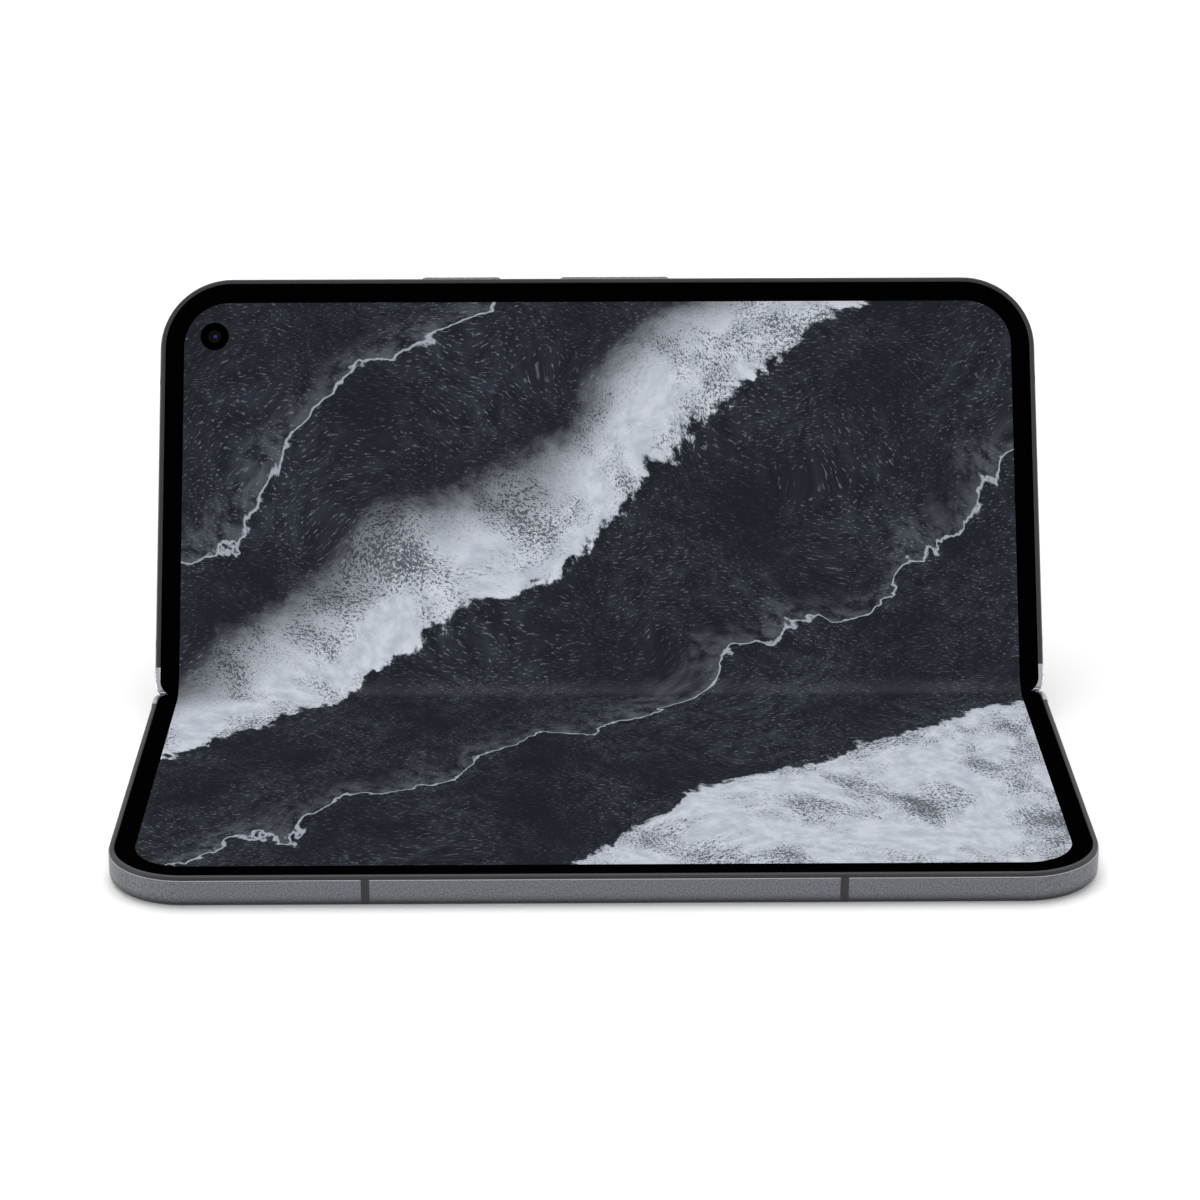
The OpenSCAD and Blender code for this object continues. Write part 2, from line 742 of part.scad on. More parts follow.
module block2d() {
    translate([-axis_y - block_edge, z_axis - block_waist])
        square([2 * (axis_y + block_edge), block_waist + block_edge]);
    translate([-block_floor_hw, spine_floor]) square([2 * block_floor_hw, z_axis - spine_floor]);
    translate([-strip_hw, z_axis]) square([2 * strip_hw, fold_under_z - strip_gap - strip_t - z_axis]);
}

module hinge_blocks() color(silver) at_spine() difference() {
    at_blocks() {
        along_x(0, block_w) block2d();
        slab([0, block_w / 2 + block_foot], [-block_floor_hw, block_floor_hw],
            [spine_floor, spine_floor + block_foot_t]);
    }
    for (s = [-1, 1]) along_x(0, 2 * spine_hl) translate([s * axis_y, z_axis]) circle(bore_r);
    for (u = units, s = [-1, 1]) if (u[2])
        along_x(u[0], 4 * knuckle_w) translate([s * idler_y, z_axis]) circle(bore_r);
    at_block_screws() translate([0, 0, spine_floor - EPS]) cylinder(half_t, r = screw_r);
}

module hinge_block_screws() color(silver) at_spine() at_block_screws() {
    translate([0, 0, spine_floor - spine_t + screw_tip])
        cylinder(block_foot_t + spine_t - screw_tip, r = screw_r);
    translate([0, 0, spine_floor + block_foot_t]) cylinder(screw_head_t, r = 2 * screw_r);
}

// Spring clips that grip the plain knuckles from below and hold the set angle
module clip2d() {
    difference() {
        at_axis2d() circle(knuckle_r + pin_gap + clip_t);
        at_axis2d() circle(knuckle_r + pin_gap);
        at_axis2d() wedge2d(clip_mouth);
    }
    difference() {
        translate([axis_y - clip_leg - 0.1, spine_floor])
            square([clip_leg, z_axis - knuckle_r / 2 - 0.1 - spine_floor]);
        at_axis2d() circle(knuckle_r + pin_gap);
    }
}

module friction_clips() color(silver) at_spine() along_x(0, grip_w - 2 * clip_side)
    for (s = [0, 1]) mirror([s, 0]) clip2d();

module fold_support_strip() color(silver) at_spine()
    slab([-spine_hl, spine_hl], [-strip_hw, strip_hw],
        [fold_under_z - strip_gap - strip_t, fold_under_z - strip_gap]);

// Idler gear and shaft of each geared unit; side is 1 towards the upper half
module idlers(side, turn) at_spine() for (u = units) if (u[2]) {
    along_x(u[0], u[1] - 2 * side_gap) translate([side * idler_y, z_axis]) gear2d(turn);
    along_x(u[0], u[1] + 2 * side_gap + 2 * block_w - pin_short) translate([side * idler_y, z_axis])
        circle(pin_r);
}

// Glass, cover display and cameras

module glass2d() inset2d(glass_inset + glass_gap, glass_y);

module cover_glass() color(glass) at_lower() between(z_back, z_glass) glass2d();

module cover_panel() color(black) at_lower() difference() {
    between(z_glass, z_cover) inset2d(wall_t + part_gap, inside_y + part_gap);
    translate([cover_camera_x, mid_y, z_glass - EPS]) cylinder(1, r = cover_camera_r + part_gap);
}

module cover_camera() color(black) at_lower() translate([cover_camera_x, mid_y, 0]) {
    translate([0, 0, z_glass + seat_gap]) cylinder(z_cover - z_glass, r = cover_camera_r);
    translate([0, 0, z_cover + seat_gap])
        cylinder(z_web - z_cover - 2 * seat_gap, r = cover_camera_r + barrel_step);
}

module selfie_camera() color(black) at_upper() translate([selfie_x, selfie_y, 0]) {
    translate([0, 0, z_web - selfie_h]) cylinder(z_screen - lens_sink - z_web + selfie_h, r = selfie_r);
    translate([0, 0, z_web - selfie_h]) cylinder(selfie_h - seat_gap, r = selfie_r + barrel_step);
}

// Camera island with a bevel round its outer face
module island() {
    r = island_w / 2;
    for (s = [-1, 1]) translate([island_x + s * (island_l / 2 - r), island_y, 0]) {
        translate([0, 0, z_island + island_bevel]) cylinder(island_h - island_bevel, r = r);
        translate([0, 0, z_island]) cylinder(island_bevel, r1 = r - island_bevel, r2 = r);
    }
    translate([0, island_y, 0]) along_x(island_x, island_l - 2 * r) polygon([[-r, z_back],
        [-r, z_island + island_bevel], [-r + island_bevel, z_island],
        [r - island_bevel, z_island], [r, z_island + island_bevel], [r, z_back]]);
}

module at_lenses() for (x = lens_x) translate([x, island_y, 0]) children();

module camera_island() color(metal) at_upper() difference() {
    island();
    at_lenses() {
        translate([0, 0, z_island - 1]) cylinder(island_h + 2, r = lens_r);
        translate([0, 0, z_island - 1]) cylinder(1 + ring_sink, r = lens_r + ring_t);
    }
    translate([flash_x, island_y, z_island - 1]) cylinder(island_h + 2, r = flash_r);
}

module camera_rings() color(silver) at_upper() at_lenses() difference() {
    translate([0, 0, z_island - ring_out]) cylinder(ring_out + ring_sink, r = lens_r + ring_t - EPS);
    translate([0, 0, z_island - 1]) cylinder(2, r = lens_r);
}

module camera_lenses() color(black) at_upper() at_lenses()
    translate([0, 0, z_island - ring_out + lens_sink]) cylinder(lens_t, r = lens_r - EPS);

module camera_modules() color(black) at_upper() at_lenses() {
    translate([0, 0, z_glass + seat_gap]) cylinder(z_web - z_glass - 2 * seat_gap, r = lens_r + barrel_out);
    translate([0, 0, z_barrel]) cylinder(z_glass + seat_gap - z_barrel + EPS, r = lens_r - barrel_in);
}

module flash_lens() color("#f1ecd8") at_upper() translate([flash_x, island_y, z_island - flash_out])
    cylinder(flash_t, r = flash_r - EPS);

module back_cover() color(metal) at_upper() difference() {
    between(z_back, z_glass) glass2d();
    at_lenses() translate([0, 0, z_back - 1]) cylinder(glass_t + 2, r = lens_r - barrel_in + part_gap);
}

// Keys on the far edge of the upper half

module key_room(x, len, side) {
    translate([x, 0, z_key]) along_y(half_l + 1, key_d + cap_room + 1)
        pill2d(len + 2 * side, key_h + 2 * key_gap);
    slab([x - len / 2 - flange_l - side, x + len / 2 + flange_l + side],
        [inner_end - 1, half_l - key_d], [z_key - key_h / 2 - key_gap, z_web]);
}

// Cap with its flange; back is how far the flange stays behind the wall's shoulder
module key(x, len, back) {
    translate([x, 0, z_key]) along_y(half_l + key_out, key_out + key_d + back + EPS)
        pill2d(len, key_h);
    slab([x - len / 2 - flange_l, x + len / 2 + flange_l],
        [half_l - key_d - back - flange_t, half_l - key_d - back],
        [z_key - key_h / 2, z_web - key_gap]);
}

module plunger(x, y0, back) translate([x, 0, z_key])
    along_y(half_l - key_d - back - flange_t / 2, half_l - key_d - back - flange_t / 2 - y0)
        circle(plunger_r);

module power_key() color(metal) at_upper() {
    key(power_x, power_l, flange_gap);
    plunger(power_x, switch_y + key_travel + press_gap, flange_gap);
}

module volume_rocker() color(metal) at_upper() difference() {
    union() {
        key(volume_x, volume_l, rocker_back);
        for (s = [-1, 1]) plunger(volume_x + s * rocker_reach,
            switch_y + rocker_reach * sin(rocker_turn) + press_gap, rocker_back);
        slab([volume_x - lug_r, volume_x + lug_r],
            [pivot_y - lug_r, half_l - key_d - rocker_back - flange_t + EPS],
            [z_key - lug_h / 2, z_key + lug_h / 2]);
    }
    translate([volume_x, pivot_y, z_back]) cylinder(half_t, r = bore_r);
}

module volume_pivot_pin() color(silver) at_upper() translate([volume_x, pivot_y, z_key - lug_h])
    cylinder(z_pivot_top - z_key + lug_h, r = pin_r);

// Switch strip behind the keys with one dome under each plunger
module key_switches() color(gold) at_upper() difference() {
    union() {
        slab([power_x - strip_end, volume_x + rocker_reach + strip_end],
            [switch_y - dome_t - switch_strip_t, switch_y - dome_t], [z_key - dome_r, z_web]);
        for (x = [power_x, volume_x - rocker_reach, volume_x + rocker_reach])
            translate([x, 0, z_key]) along_y(switch_y, dome_t + EPS) circle(dome_r);
    }
    slab([volume_x - lug_r - lug_room, volume_x + lug_r + lug_room],
        [switch_y - dome_t - switch_strip_t - 1, inner_end], [z_back, z_key + lug_h / 2 + part_gap]);
}

// Sockets, card tray and sound

module charging_socket() color(silver) at_upper() {
    difference() {
        translate([0, usb_y, usb_z]) along_x(inner_hw - usb_d / 2, usb_d)
            pill2d(usb_w + 2 * usb_shell, usb_h + 2 * usb_shell);
        translate([0, usb_y, usb_z]) along_x(inner_hw - usb_d / 2 + usb_back, usb_d) pill2d(usb_w, usb_h);
    }
    slab([inner_hw - usb_d + usb_back - EPS, inner_hw - tongue_back],
        [usb_y - tongue_w / 2, usb_y + tongue_w / 2], [usb_z - tongue_t / 2, usb_z + tongue_t / 2]);
}

module tray_room(gap) translate([0, tray_y, tray_z]) along_x(hw, 2 * wall_t + 1)
    pill2d(tray_l + 2 * gap, tray_h + 2 * gap);

module card_tray() color(metal) at_lower() difference() {
    union() {
        translate([0, tray_y, tray_z]) along_x(hw - wall_t / 2, wall_t) pill2d(tray_l, tray_h);
        slab([inner_hw - tray_d, inner_hw + EPS], [tray_y - tray_plate_w / 2, tray_y + tray_plate_w / 2],
            [tray_z - tray_plate_t / 2, tray_z + tray_plate_t / 2]);
    }
    slab([inner_hw - tray_d + tray_edge, inner_hw - tray_edge - join],
        [tray_y - card_w / 2, tray_y + card_w / 2], [tray_z + tray_plate_t / 2 - card_t, tray_z + 1]);
}

module card_reader() color(silver) at_lower() difference() {
    slab([inner_hw - tray_d - 1, inner_hw - seat_gap], [tray_y - tray_l / 2, tray_y + tray_l / 2],
        [z_cover + part_gap, z_web - seat_gap]);
    slab([inner_hw - tray_d - part_gap, inner_hw + 1],
        [tray_y - tray_plate_w / 2 - tray_gap, tray_y + tray_plate_w / 2 + tray_gap],
        [tray_z - tray_plate_t / 2 - tray_gap, tray_z + tray_plate_t / 2 + tray_gap]);
}

// Row of sound holes through the side wall, centred on y
module sound_holes(y, count, pitch, z) for (i = [0 : count - 1])
    translate([0, y + (i - (count - 1) / 2) * pitch, z]) along_x(hw, 2 * wall_t + 1) circle(hole_r);

module loudspeaker() color(black) at_upper()
    slab([inner_hw - speaker_l, inner_hw - part_gap], speaker_y, [z_glass + part_gap, z_web - seat_gap]);

module earpiece() color(black) at_lower()
    slab([part_gap - inner_hw, earpiece_l - inner_hw], earpiece_y, [z_cover + part_gap, z_web - seat_gap]);

module vibration_motor() color(silver) at_lower()
    slab(motor_x, motor_y, [z_cover + part_gap, z_web - seat_gap]);

// Boards and batteries

module lower_board() color(board_green) at_lower()
    slab(lower_board_x, [board_y, board_end], [z_web - seat_gap - board_t, z_web - seat_gap]);

module main_board() color(board_green) at_upper()
    slab(main_board_x, [board_y, main_board_end], [z_web - seat_gap - board_t, z_web - seat_gap]);

module shield_cans() color(silver) at_upper() for (x = can_x) difference() {
    slab([x, x + can_l], can_y, [z_glass + 2 * part_gap, z_web - seat_gap - board_t]);
    slab([x + can_t, x + can_l - can_t], can_y + [can_t, -can_t],
        [z_glass + 2 * part_gap + can_t, z_web - seat_gap - board_t + EPS]);
}

module lower_battery() color(soft) at_lower()
    slab(lower_battery_x, [battery_y, battery_y + battery_d], [z_cover + part_gap, z_web - seat_gap]);

module upper_battery() color(soft) at_upper()
    slab(upper_battery_x, [battery_y, battery_y + battery_d],
        [z_glass + seat_gap + coil_t + seat_gap, z_web - seat_gap]);

module charging_coil() color(gold) at_upper()
    translate([coil_x, battery_y + battery_d / 2, z_glass + seat_gap]) difference() {
        cylinder(coil_t, r = coil_r);
        translate([0, 0, -1]) cylinder(coil_t + 2, r = coil_r - coil_w);
    }

// The halves

module lower_frame() color(metal) at_lower() difference() {
    frame();
    tray_room(tray_gap);
    mirror([1, 0, 0])
        sound_holes((earpiece_y[0] + earpiece_y[1]) / 2, earpiece_holes, earpiece_pitch, tray_z);
    sound_holes(tray_y + tray_l / 2 + hole_side, 1, 0, tray_z);
}

module upper_frame() color(metal) at_upper() difference() {
    frame();
    key_room(power_x, power_l, key_gap);
    key_room(volume_x, volume_l, rocker_gap);
    translate([0, usb_y, usb_z]) along_x(hw, 2 * wall_t + 1) pill2d(usb_w, usb_h);
    slab([inner_hw - usb_d - part_gap, inner_hw],
        [usb_y - usb_w / 2 - usb_shell - part_gap, usb_y + usb_w / 2 + usb_shell + part_gap],
        [z_back, z_plate + 1]);
    sound_holes((speaker_y[0] + speaker_y[1]) / 2, speaker_holes, speaker_pitch, usb_z);
    sound_holes(usb_y - mic_side, 1, 0, usb_z);
    translate([volume_x, pivot_y, z_back]) cylinder(z_pivot_top - z_back, r = pin_r);
    translate([selfie_x, selfie_y, z_back]) cylinder(half_t, r = selfie_r + part_gap);
}

module lower_rim() color(soft) at_lower() rim();
module upper_rim() color(soft) at_upper() rim();
module lower_antenna_bands() color(soft) at_lower() antenna_bands();
module upper_antenna_bands() color(soft) at_upper() antenna_bands();
module lower_corner_guards() color(black) at_lower() corner_guards();
module upper_corner_guards() color(black) at_upper() corner_guards();
module lower_display() color(glass) at_lower() screen();
module lower_display_plate() color(silver) at_lower() screen_plate();
module lower_bezel() color(black) at_lower() border();
module lower_leaf_arms() color(silver) at_lower() leaf_arms(0);
module upper_leaf_arms() color(silver) at_upper() leaf_arms(180 / gear_teeth);
module lower_hinge_pins() color(silver) at_lower() hinge_pins();
module upper_hinge_pins() color(silver) at_upper() hinge_pins();
module lower_leaf_screws() color(silver) at_lower() leaf_screws();
module upper_leaf_screws() color(silver) at_upper() leaf_screws();
module lower_idler_gears() color(gold) idlers(-1, rest_turn + 180 / gear_teeth);
module upper_idler_gears() color(gold) idlers(1, -rest_turn);

module at_selfie() translate([selfie_x, selfie_y, 0]) children();

module upper_display() color(glass) at_upper() difference() {
    screen();
    at_selfie() between(z_panel - 1, 1) circle(selfie_r + part_gap);
}

module upper_display_plate() color(silver) at_upper() difference() {
    screen_plate();
    at_selfie() between(z_plate - 1, 1) circle(selfie_r + part_gap);
}

module upper_bezel() color(black) at_upper() {
    border();
    at_selfie() between(z_screen, z_screen + film_t) difference() {
        circle(selfie_disc_r);
        circle(selfie_r + part_gap);
    }
}

lower_frame();
lower_rim();
lower_antenna_bands();
lower_corner_guards();
lower_bezel();
lower_display();
lower_display_plate();
cover_glass();
cover_panel();
cover_camera();
lower_battery();
lower_board();
earpiece();
vibration_motor();
card_reader();
lower_leaf_arms();
lower_hinge_pins();
lower_leaf_screws();
spine_cover();
hinge_blocks();
hinge_block_screws();
friction_clips();
fold_support_strip();
fold_display();
fold_bezel_strips();
hinge_flex();
lower_idler_gears();
upper_idler_gears();
upper_frame();
upper_rim();
upper_antenna_bands();
upper_corner_guards();
upper_bezel();
upper_display();
upper_display_plate();
selfie_camera();
back_cover();
camera_island();
camera_rings();
camera_lenses();
camera_modules();
flash_lens();
upper_battery();
main_board();
shield_cans();
charging_coil();
charging_socket();
loudspeaker();
key_switches();
volume_pivot_pin();
upper_leaf_arms();
upper_hinge_pins();
upper_leaf_screws();
power_key();
volume_rocker();
card_tray();
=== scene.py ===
"""Looks of a foldable phone that stands half open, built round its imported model.

Every length is in metres, in the model's own frame: X runs along the hinge, Y to the back, Z up.
A half frame is used to draw what belongs to one half: x along the hinge, y out from the middle
of the fold, z = 0 at the lip and negative into the body.
"""

import json
import math

import bpy
import numpy as np
from mathutils import Matrix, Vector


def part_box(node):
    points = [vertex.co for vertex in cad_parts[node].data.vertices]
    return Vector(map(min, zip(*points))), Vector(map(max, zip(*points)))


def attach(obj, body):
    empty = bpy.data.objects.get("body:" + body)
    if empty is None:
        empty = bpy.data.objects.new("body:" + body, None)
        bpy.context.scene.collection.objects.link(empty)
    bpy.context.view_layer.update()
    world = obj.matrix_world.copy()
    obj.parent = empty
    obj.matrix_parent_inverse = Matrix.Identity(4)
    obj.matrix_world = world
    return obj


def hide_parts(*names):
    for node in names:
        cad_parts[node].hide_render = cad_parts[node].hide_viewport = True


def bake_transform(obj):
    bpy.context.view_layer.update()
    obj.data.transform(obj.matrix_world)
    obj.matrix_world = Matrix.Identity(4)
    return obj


bl_info = {
    "name": "Foldable phone looks",
    "version": (1, 0, 0),
    "blender": (4, 5, 0),
    "location": "View3D > Sidebar > Phone",
    "description": "Screen, rims, keys, cameras, finishes and stage of a phone",
    "category": "Object",
}

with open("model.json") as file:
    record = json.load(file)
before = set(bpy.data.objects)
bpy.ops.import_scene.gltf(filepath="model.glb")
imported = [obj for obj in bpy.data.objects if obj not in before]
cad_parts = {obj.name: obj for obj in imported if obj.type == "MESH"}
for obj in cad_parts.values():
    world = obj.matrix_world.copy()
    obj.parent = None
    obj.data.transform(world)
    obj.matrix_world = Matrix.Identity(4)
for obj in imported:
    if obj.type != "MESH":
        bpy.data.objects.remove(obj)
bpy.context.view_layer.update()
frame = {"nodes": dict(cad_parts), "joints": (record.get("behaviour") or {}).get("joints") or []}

MM = 0.001

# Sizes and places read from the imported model


def joint_point(name):
    """(y, z) of a joint's axis."""
    found = next(j for j in frame["joints"] if j["name"] == name)
    return np.array(found["pos_m"][1:])


def half_width(node):
    """Half the length of a node along the hinge."""
    low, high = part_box(node)
    return (high.x - low.x) / 2


LOWER_AXIS = joint_point("lower_fold")
UPPER_AXIS = joint_point("upper_fold")
AXIS_Y = float(np.hypot(*(UPPER_AXIS - LOWER_AXIS))) / 2
REST_TURN = math.atan2(*(UPPER_AXIS - LOWER_AXIS)[::-1])
MID_Y = float(LOWER_AXIS[0]) + AXIS_Y
HALF_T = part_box("lower_rim")[1].z
AXIS_Z = float(LOWER_AXIS[1]) - HALF_T
HALF_W = half_width("lower_frame")
HALF_L = MID_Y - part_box("lower_frame")[0].y
SCREEN_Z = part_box("lower_display")[1].z - HALF_T
SCREEN_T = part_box("lower_display")[1].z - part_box("lower_display")[0].z
SCREEN_INSET = HALF_W - half_width("lower_display")
FOLD_L = MID_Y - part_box("lower_display")[1].y
FOLD_W = half_width("fold_display")
RIM_END = MID_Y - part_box("lower_rim")[1].y
RIM_H = HALF_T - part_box("lower_rim")[0].z
RIM_INSET = HALF_W - half_width("lower_rim")
FILM_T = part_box("lower_bezel")[1].z - HALF_T - SCREEN_Z
FLEX_X = sum(v.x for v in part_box("hinge_flex")) / 2
FLEX_W = 2 * half_width("hinge_flex")


# Fixed sizes, counts and places

# Where the flex begins to bend, from the middle of the hinge
FLEX_BEND = 7 * MM

# Parts of a node that stand further apart than this are told apart
PART_GAP = 2 * MM

# Points this near to a key's top belong to its face; width over which the face rises
FACE_BAND = 0.02 * MM
CROWN_W = 0.6 * MM

# How far one piece reaches into the next, and how near to its axis a turned profile starts
OVERLAP = 0.01 * MM
POLE_R = 0.01 * MM

# Points of the screen along half of the bend, its flat stretch, round a corner and over its
# width, and those of the border; how far before the bend's end its last points lie; and what
# stands for zero at the middle of the fold, where the sign tells the half
BEND_STEPS = 29
FLAT_STEPS = 12
CORNER_STEPS = 20
WIDTH_STEPS = 41
BORDER_BEND_STEPS = 20
BORDER_CORNER_STEPS = 24
BEND_STOP = 0.05 * MM
NUDGE = 1e-12

# Where the coated spot of the screen camera, a painted glint, lies from its middle
PAINTED_GLINT_PLACE = np.array([0.16, -0.03]) * MM

# Rear windows: radius as a share of the distance between two lenses and thickness; the coated
# lens: radius as a share of the window's, depth and bulge; the well: shares of that radius and
# depths in millimetres
REAR_WINDOW_SHARE = 4.2 / 11
REAR_WINDOW_T = 0.18 * MM
REAR_LENS_SHARE = 0.44
REAR_LENS_DEPTH = 0.5 * MM
REAR_LENS_BULGE = 0.22 * MM
REAR_WELL = (
    (0, 0.55), (0.47, 0.55), (0.50, 0.42), (0.55, 0.42), (0.62, 0.26), (0.70, 0.26), (0.72, 0.2), (1, 0.2),
    (1, 0.62), (0, 0.62))

# Flash window: rings pressed into it, their depth, and the depths of its face and back
FLASH_RINGS = 5
FLASH_RIDGE = 0.06 * MM
FLASH_FACE = 0.08 * MM
FLASH_BACK = 0.6 * MM

# Sizes of the grains, clouds, smears and patches in the finishes; the patches hold a lens's painted
# reflection
METAL_GRAIN = 0.25 * MM
METAL_CLOUD = 9 * MM
PLASTIC_CLOUD = 6 * MM
GLASS_SMEAR = 14 * MM
PAINTED_REFLECTION_PATCH = 0.9 * MM

# Picture, in millimetres on the open screen: direction across the bands, their sway, where the
# lower one ends and the upper one starts, and the offset and sway of each vein
BAND_DIRECTION = (-0.60, 0.80)
PICTURE_SWAY = 44
LOW_BAND = -47
HIGH_BAND = 26
VEINS = ((-12, 46), (62, 40))

# Directions of the lamps, and each side lamp's share of the wide lamp's light
WIDE_LAMP = (-0.05, 0.32, 1.0)
SIDE_LAMPS = {"left_lamp": ((-1.0, -0.42, 0.16), 0.8), "right_lamp": ((1.0, -0.30, 0.16), 0.5)}

# The photograph's view: place, degrees of pitch down, of turn to the right and of roll, and lens
CAMERA_PLACE = np.array([-5.35, -493.01, 222.48]) * MM
CAMERA_TURNS = (20.710, 0.579, -0.039)
CAMERA_LENS = 98.50
CAMERA_SENSOR = 36.0


# Sizes and colours that a user would change


def srgb(red, green, blue):
    """Linear colour of 0 to 255 screen values."""
    values = np.array([red, green, blue]) / 255
    linear = np.where(values <= 0.04045, values / 12.92, ((values + 0.055) / 1.055) ** 2.4)
    return tuple(float(v) for v in linear)


def number(name, description, default, **options):
    return bpy.props.FloatProperty(name=name, description=description, default=default, min=0, **options)


def length(name, description, default):
    return number(name, description, default, unit="LENGTH")


def share(name, description, default):
    return number(name, description, default, max=1, subtype="FACTOR")


def degrees(name, description, default):
    return number(name, description, math.radians(default), max=math.pi, subtype="ANGLE")


def colour(name, description, default):
    return bpy.props.FloatVectorProperty(
        name=name, description=description, default=default, size=3, min=0, max=1, subtype="COLOR")


class PhoneBodySettings(bpy.types.PropertyGroup):
    corner_r: length("Corner radius", "Radius of the far corners in plan", 12.7 * MM)
    rim_w: length("Rim width", "Width of the soft rim", 0.8 * MM)
    rim_r: length("Rim edge radius", "Radius of the rim's outer top edge", 0.3 * MM)
    rim_bevel: length("Rim bevel", "Radius of the rim's inner top edge", 0.15 * MM)
    rim_end_r: length("Rim end radius", "Rounding of the rim's ends at the fold", 0.12 * MM)
    metal: colour("Metal", "Blasted metal of the frames", srgb(106, 108, 113))
    metal_roughness: share("Metal roughness", "Roughness of the blasted metal", 0.42)
    bevel: length("Bevel", "Height of the polished bevel below the rim", 0.09 * MM)
    polished: colour("Polished metal", "Lips at the hinge and bevels", srgb(166, 166, 172))
    polished_roughness: share("Polished roughness", "Roughness of the lips and bevels", 0.16)
    # painted shade: the round foot at the back is darkened, over this height and by this share
    painted_shade_h: length("Foot", "Height of the darker round edge at the back", 2.1 * MM)
    painted_shade_share: share("Foot tint", "Tint of the round edge at the back", 0.24)
    rim: colour("Rim", "Soft rim round the screen", srgb(47, 46, 50))
    insert: colour("Insert", "Antenna inserts", srgb(59, 58, 62))
    back: colour("Back", "Etched glass of the back", srgb(92, 94, 99))


class PhoneScreenSettings(bpy.types.PropertyGroup):
    fold_r: length("Bend radius", "Inner radius of the bend in the screen", 6.0 * MM)
    border_side: length("Side border", "Width of the black border at the sides", 3.25 * MM)
    border_end: length("End border", "Width of the black border at the far edges", 3.4 * MM)
    active_r: length("Picture corner", "Corner radius of the lit area", 8.0 * MM)
    brightness: number("Brightness", "Strength of the lit area", 1.0, max=5)
    slate: colour("Slate", "Dark stone of the picture", srgb(32, 34, 41))
    slate_light: colour("Light slate", "Lighter stone of the picture", srgb(58, 62, 71))
    quartz: colour("Quartz", "Pale stone of the picture", srgb(176, 182, 193))
    quartz_light: colour("Light quartz", "Palest stone of the picture", srgb(205, 210, 219))


class PhoneDetailSettings(bpy.types.PropertyGroup):
    key_edge: length("Key edge", "Rounding of the keys' edges", 0.15 * MM)
    key_crown: length("Key crown", "Height of the keys' crowned faces", 0.03 * MM)
    key_depth: length("Key depth", "How far the keys reach into the frame", 1.2 * MM)
    disc_r: length("Camera disc", "Radius of the black disc round the screen camera", 2.5 * MM)
    lens_r: length("Camera lens", "Radius of the screen camera's lens", 1.15 * MM)
    disc_depth: length("Lens depth", "How deep the screen camera's lens lies in its disc", 0.07 * MM)
    # the coated spot is a painted glint: a small violet dome beside the lens's middle stands in for the
    # coating's reflection
    painted_glint_r: length("Coated spot", "Radius of the coated spot in the screen camera", 0.34 * MM)
    painted_glint: colour("Lens coating", "Reflection of the lens coating", (0.034, 0.014, 0.17))


class PhoneStageSettings(bpy.types.PropertyGroup):
    floor_size: length("Floor", "Length of each side of the floor", 6.0)
    lamp: number("Lamp", "Light of the wide lamp on a surface that faces it", 0.65)
    lamp_width: degrees("Lamp width", "Angle over which the wide lamp is spread", 45)
    side_lamp_width: degrees("Side lamp width", "Angle over which a side lamp is spread", 22)
    sky: share("Sky light", "Strength of the even light all round", 0.4)
    floor_seen: share("Floor seen", "Brightness of the floor where it is seen", 0.88)
    floor_bounce: share("Floor bounce", "Brightness of the floor for the light that it sends up", 0.45)
    floor_glow: share("Floor glow", "Own light of the floor where it is seen", 0.14)


GROUPS = {
    "phone_body": PhoneBodySettings,
    "phone_screen": PhoneScreenSettings,
    "phone_detail": PhoneDetailSettings,
    "phone_stage": PhoneStageSettings,
}


def body():
    return bpy.context.scene.phone_body


def screen():
    return bpy.context.scene.phone_screen


def detail():
    return bpy.context.scene.phone_detail


def stage():
    return bpy.context.scene.phone_stage


# Places of the three moving frames


def turned(points, pivot, angle, origin):
    """Turns (y, z) about pivot by angle and carries pivot to origin; x stays."""
    y, z = points[..., 1] - pivot[0], points[..., 2] - pivot[1]
    c, s = math.cos(angle), math.sin(angle)
    return np.stack([points[..., 0], origin[0] + y * c - z * s, origin[1] + y * s + z * c], axis=-1)


def lower_place(points):
    """Half frame of the lower half: y is mirrored about the fold, z starts at the lip."""
    return np.stack([points[..., 0], MID_Y - points[..., 1], HALF_T + points[..., 2]], axis=-1)


def spine_place(points):
    """Spine frame: turned by one hinge axis."""
    return turned(points, (-AXIS_Y, AXIS_Z), REST_TURN, LOWER_AXIS)


def upper_place(points):
    """Half frame of the upper half: turned by both hinge axes."""
    return turned(points, (AXIS_Y, AXIS_Z), 2 * REST_TURN, UPPER_AXIS)


HALVES = {"lower": (lower_place, "lower_half", -1), "upper": (upper_place, "upper_half", 1)}


def bend_path():
    """Length of the arc and of the straight stretch in one half of the bend, and the arc's centre."""
    radius = screen().fold_r
    drop = SCREEN_Z - AXIS_Z
    centre = AXIS_Z + (drop + radius) / math.cos(REST_TURN) - AXIS_Y * math.tan(REST_TURN)
    end_y = AXIS_Y + (FOLD_L - AXIS_Y) * math.cos(REST_TURN) - drop * math.sin(REST_TURN)
    straight = (end_y - radius * math.sin(REST_TURN)) / math.cos(REST_TURN)
    return radius * REST_TURN, straight, centre


def on_screen(x, s, h):
    """Points over the folding screen: x along the hinge, s the flat distance from the middle of
    the fold, negative on the lower half, h the height over the screen's surface. Past the bend a
    point lies in its half's plane; in the bend it follows an arc and then the half's tangent."""
    radius = screen().fold_r
    arc, straight, centre = bend_path()
    side = np.where(s < 0, -1.0, 1.0)
    far = np.abs(s)
    path = far * (arc + straight) / FOLD_L
    angle = np.minimum(path, arc) / radius
    along = np.maximum(path - arc, 0)
    y = (radius - h) * np.sin(angle) + along * math.cos(REST_TURN)
    z = centre - (radius - h) * np.cos(angle) + along * math.sin(REST_TURN)
    bent = spine_place(np.stack([x, side * y, z], axis=-1))
    flat = np.stack([x, far, SCREEN_Z + h], axis=-1)
    plane = np.where((s < 0)[..., None], lower_place(flat), upper_place(flat))
    return np.where((far < FOLD_L)[..., None], bent, plane)


# Meshes from arrays


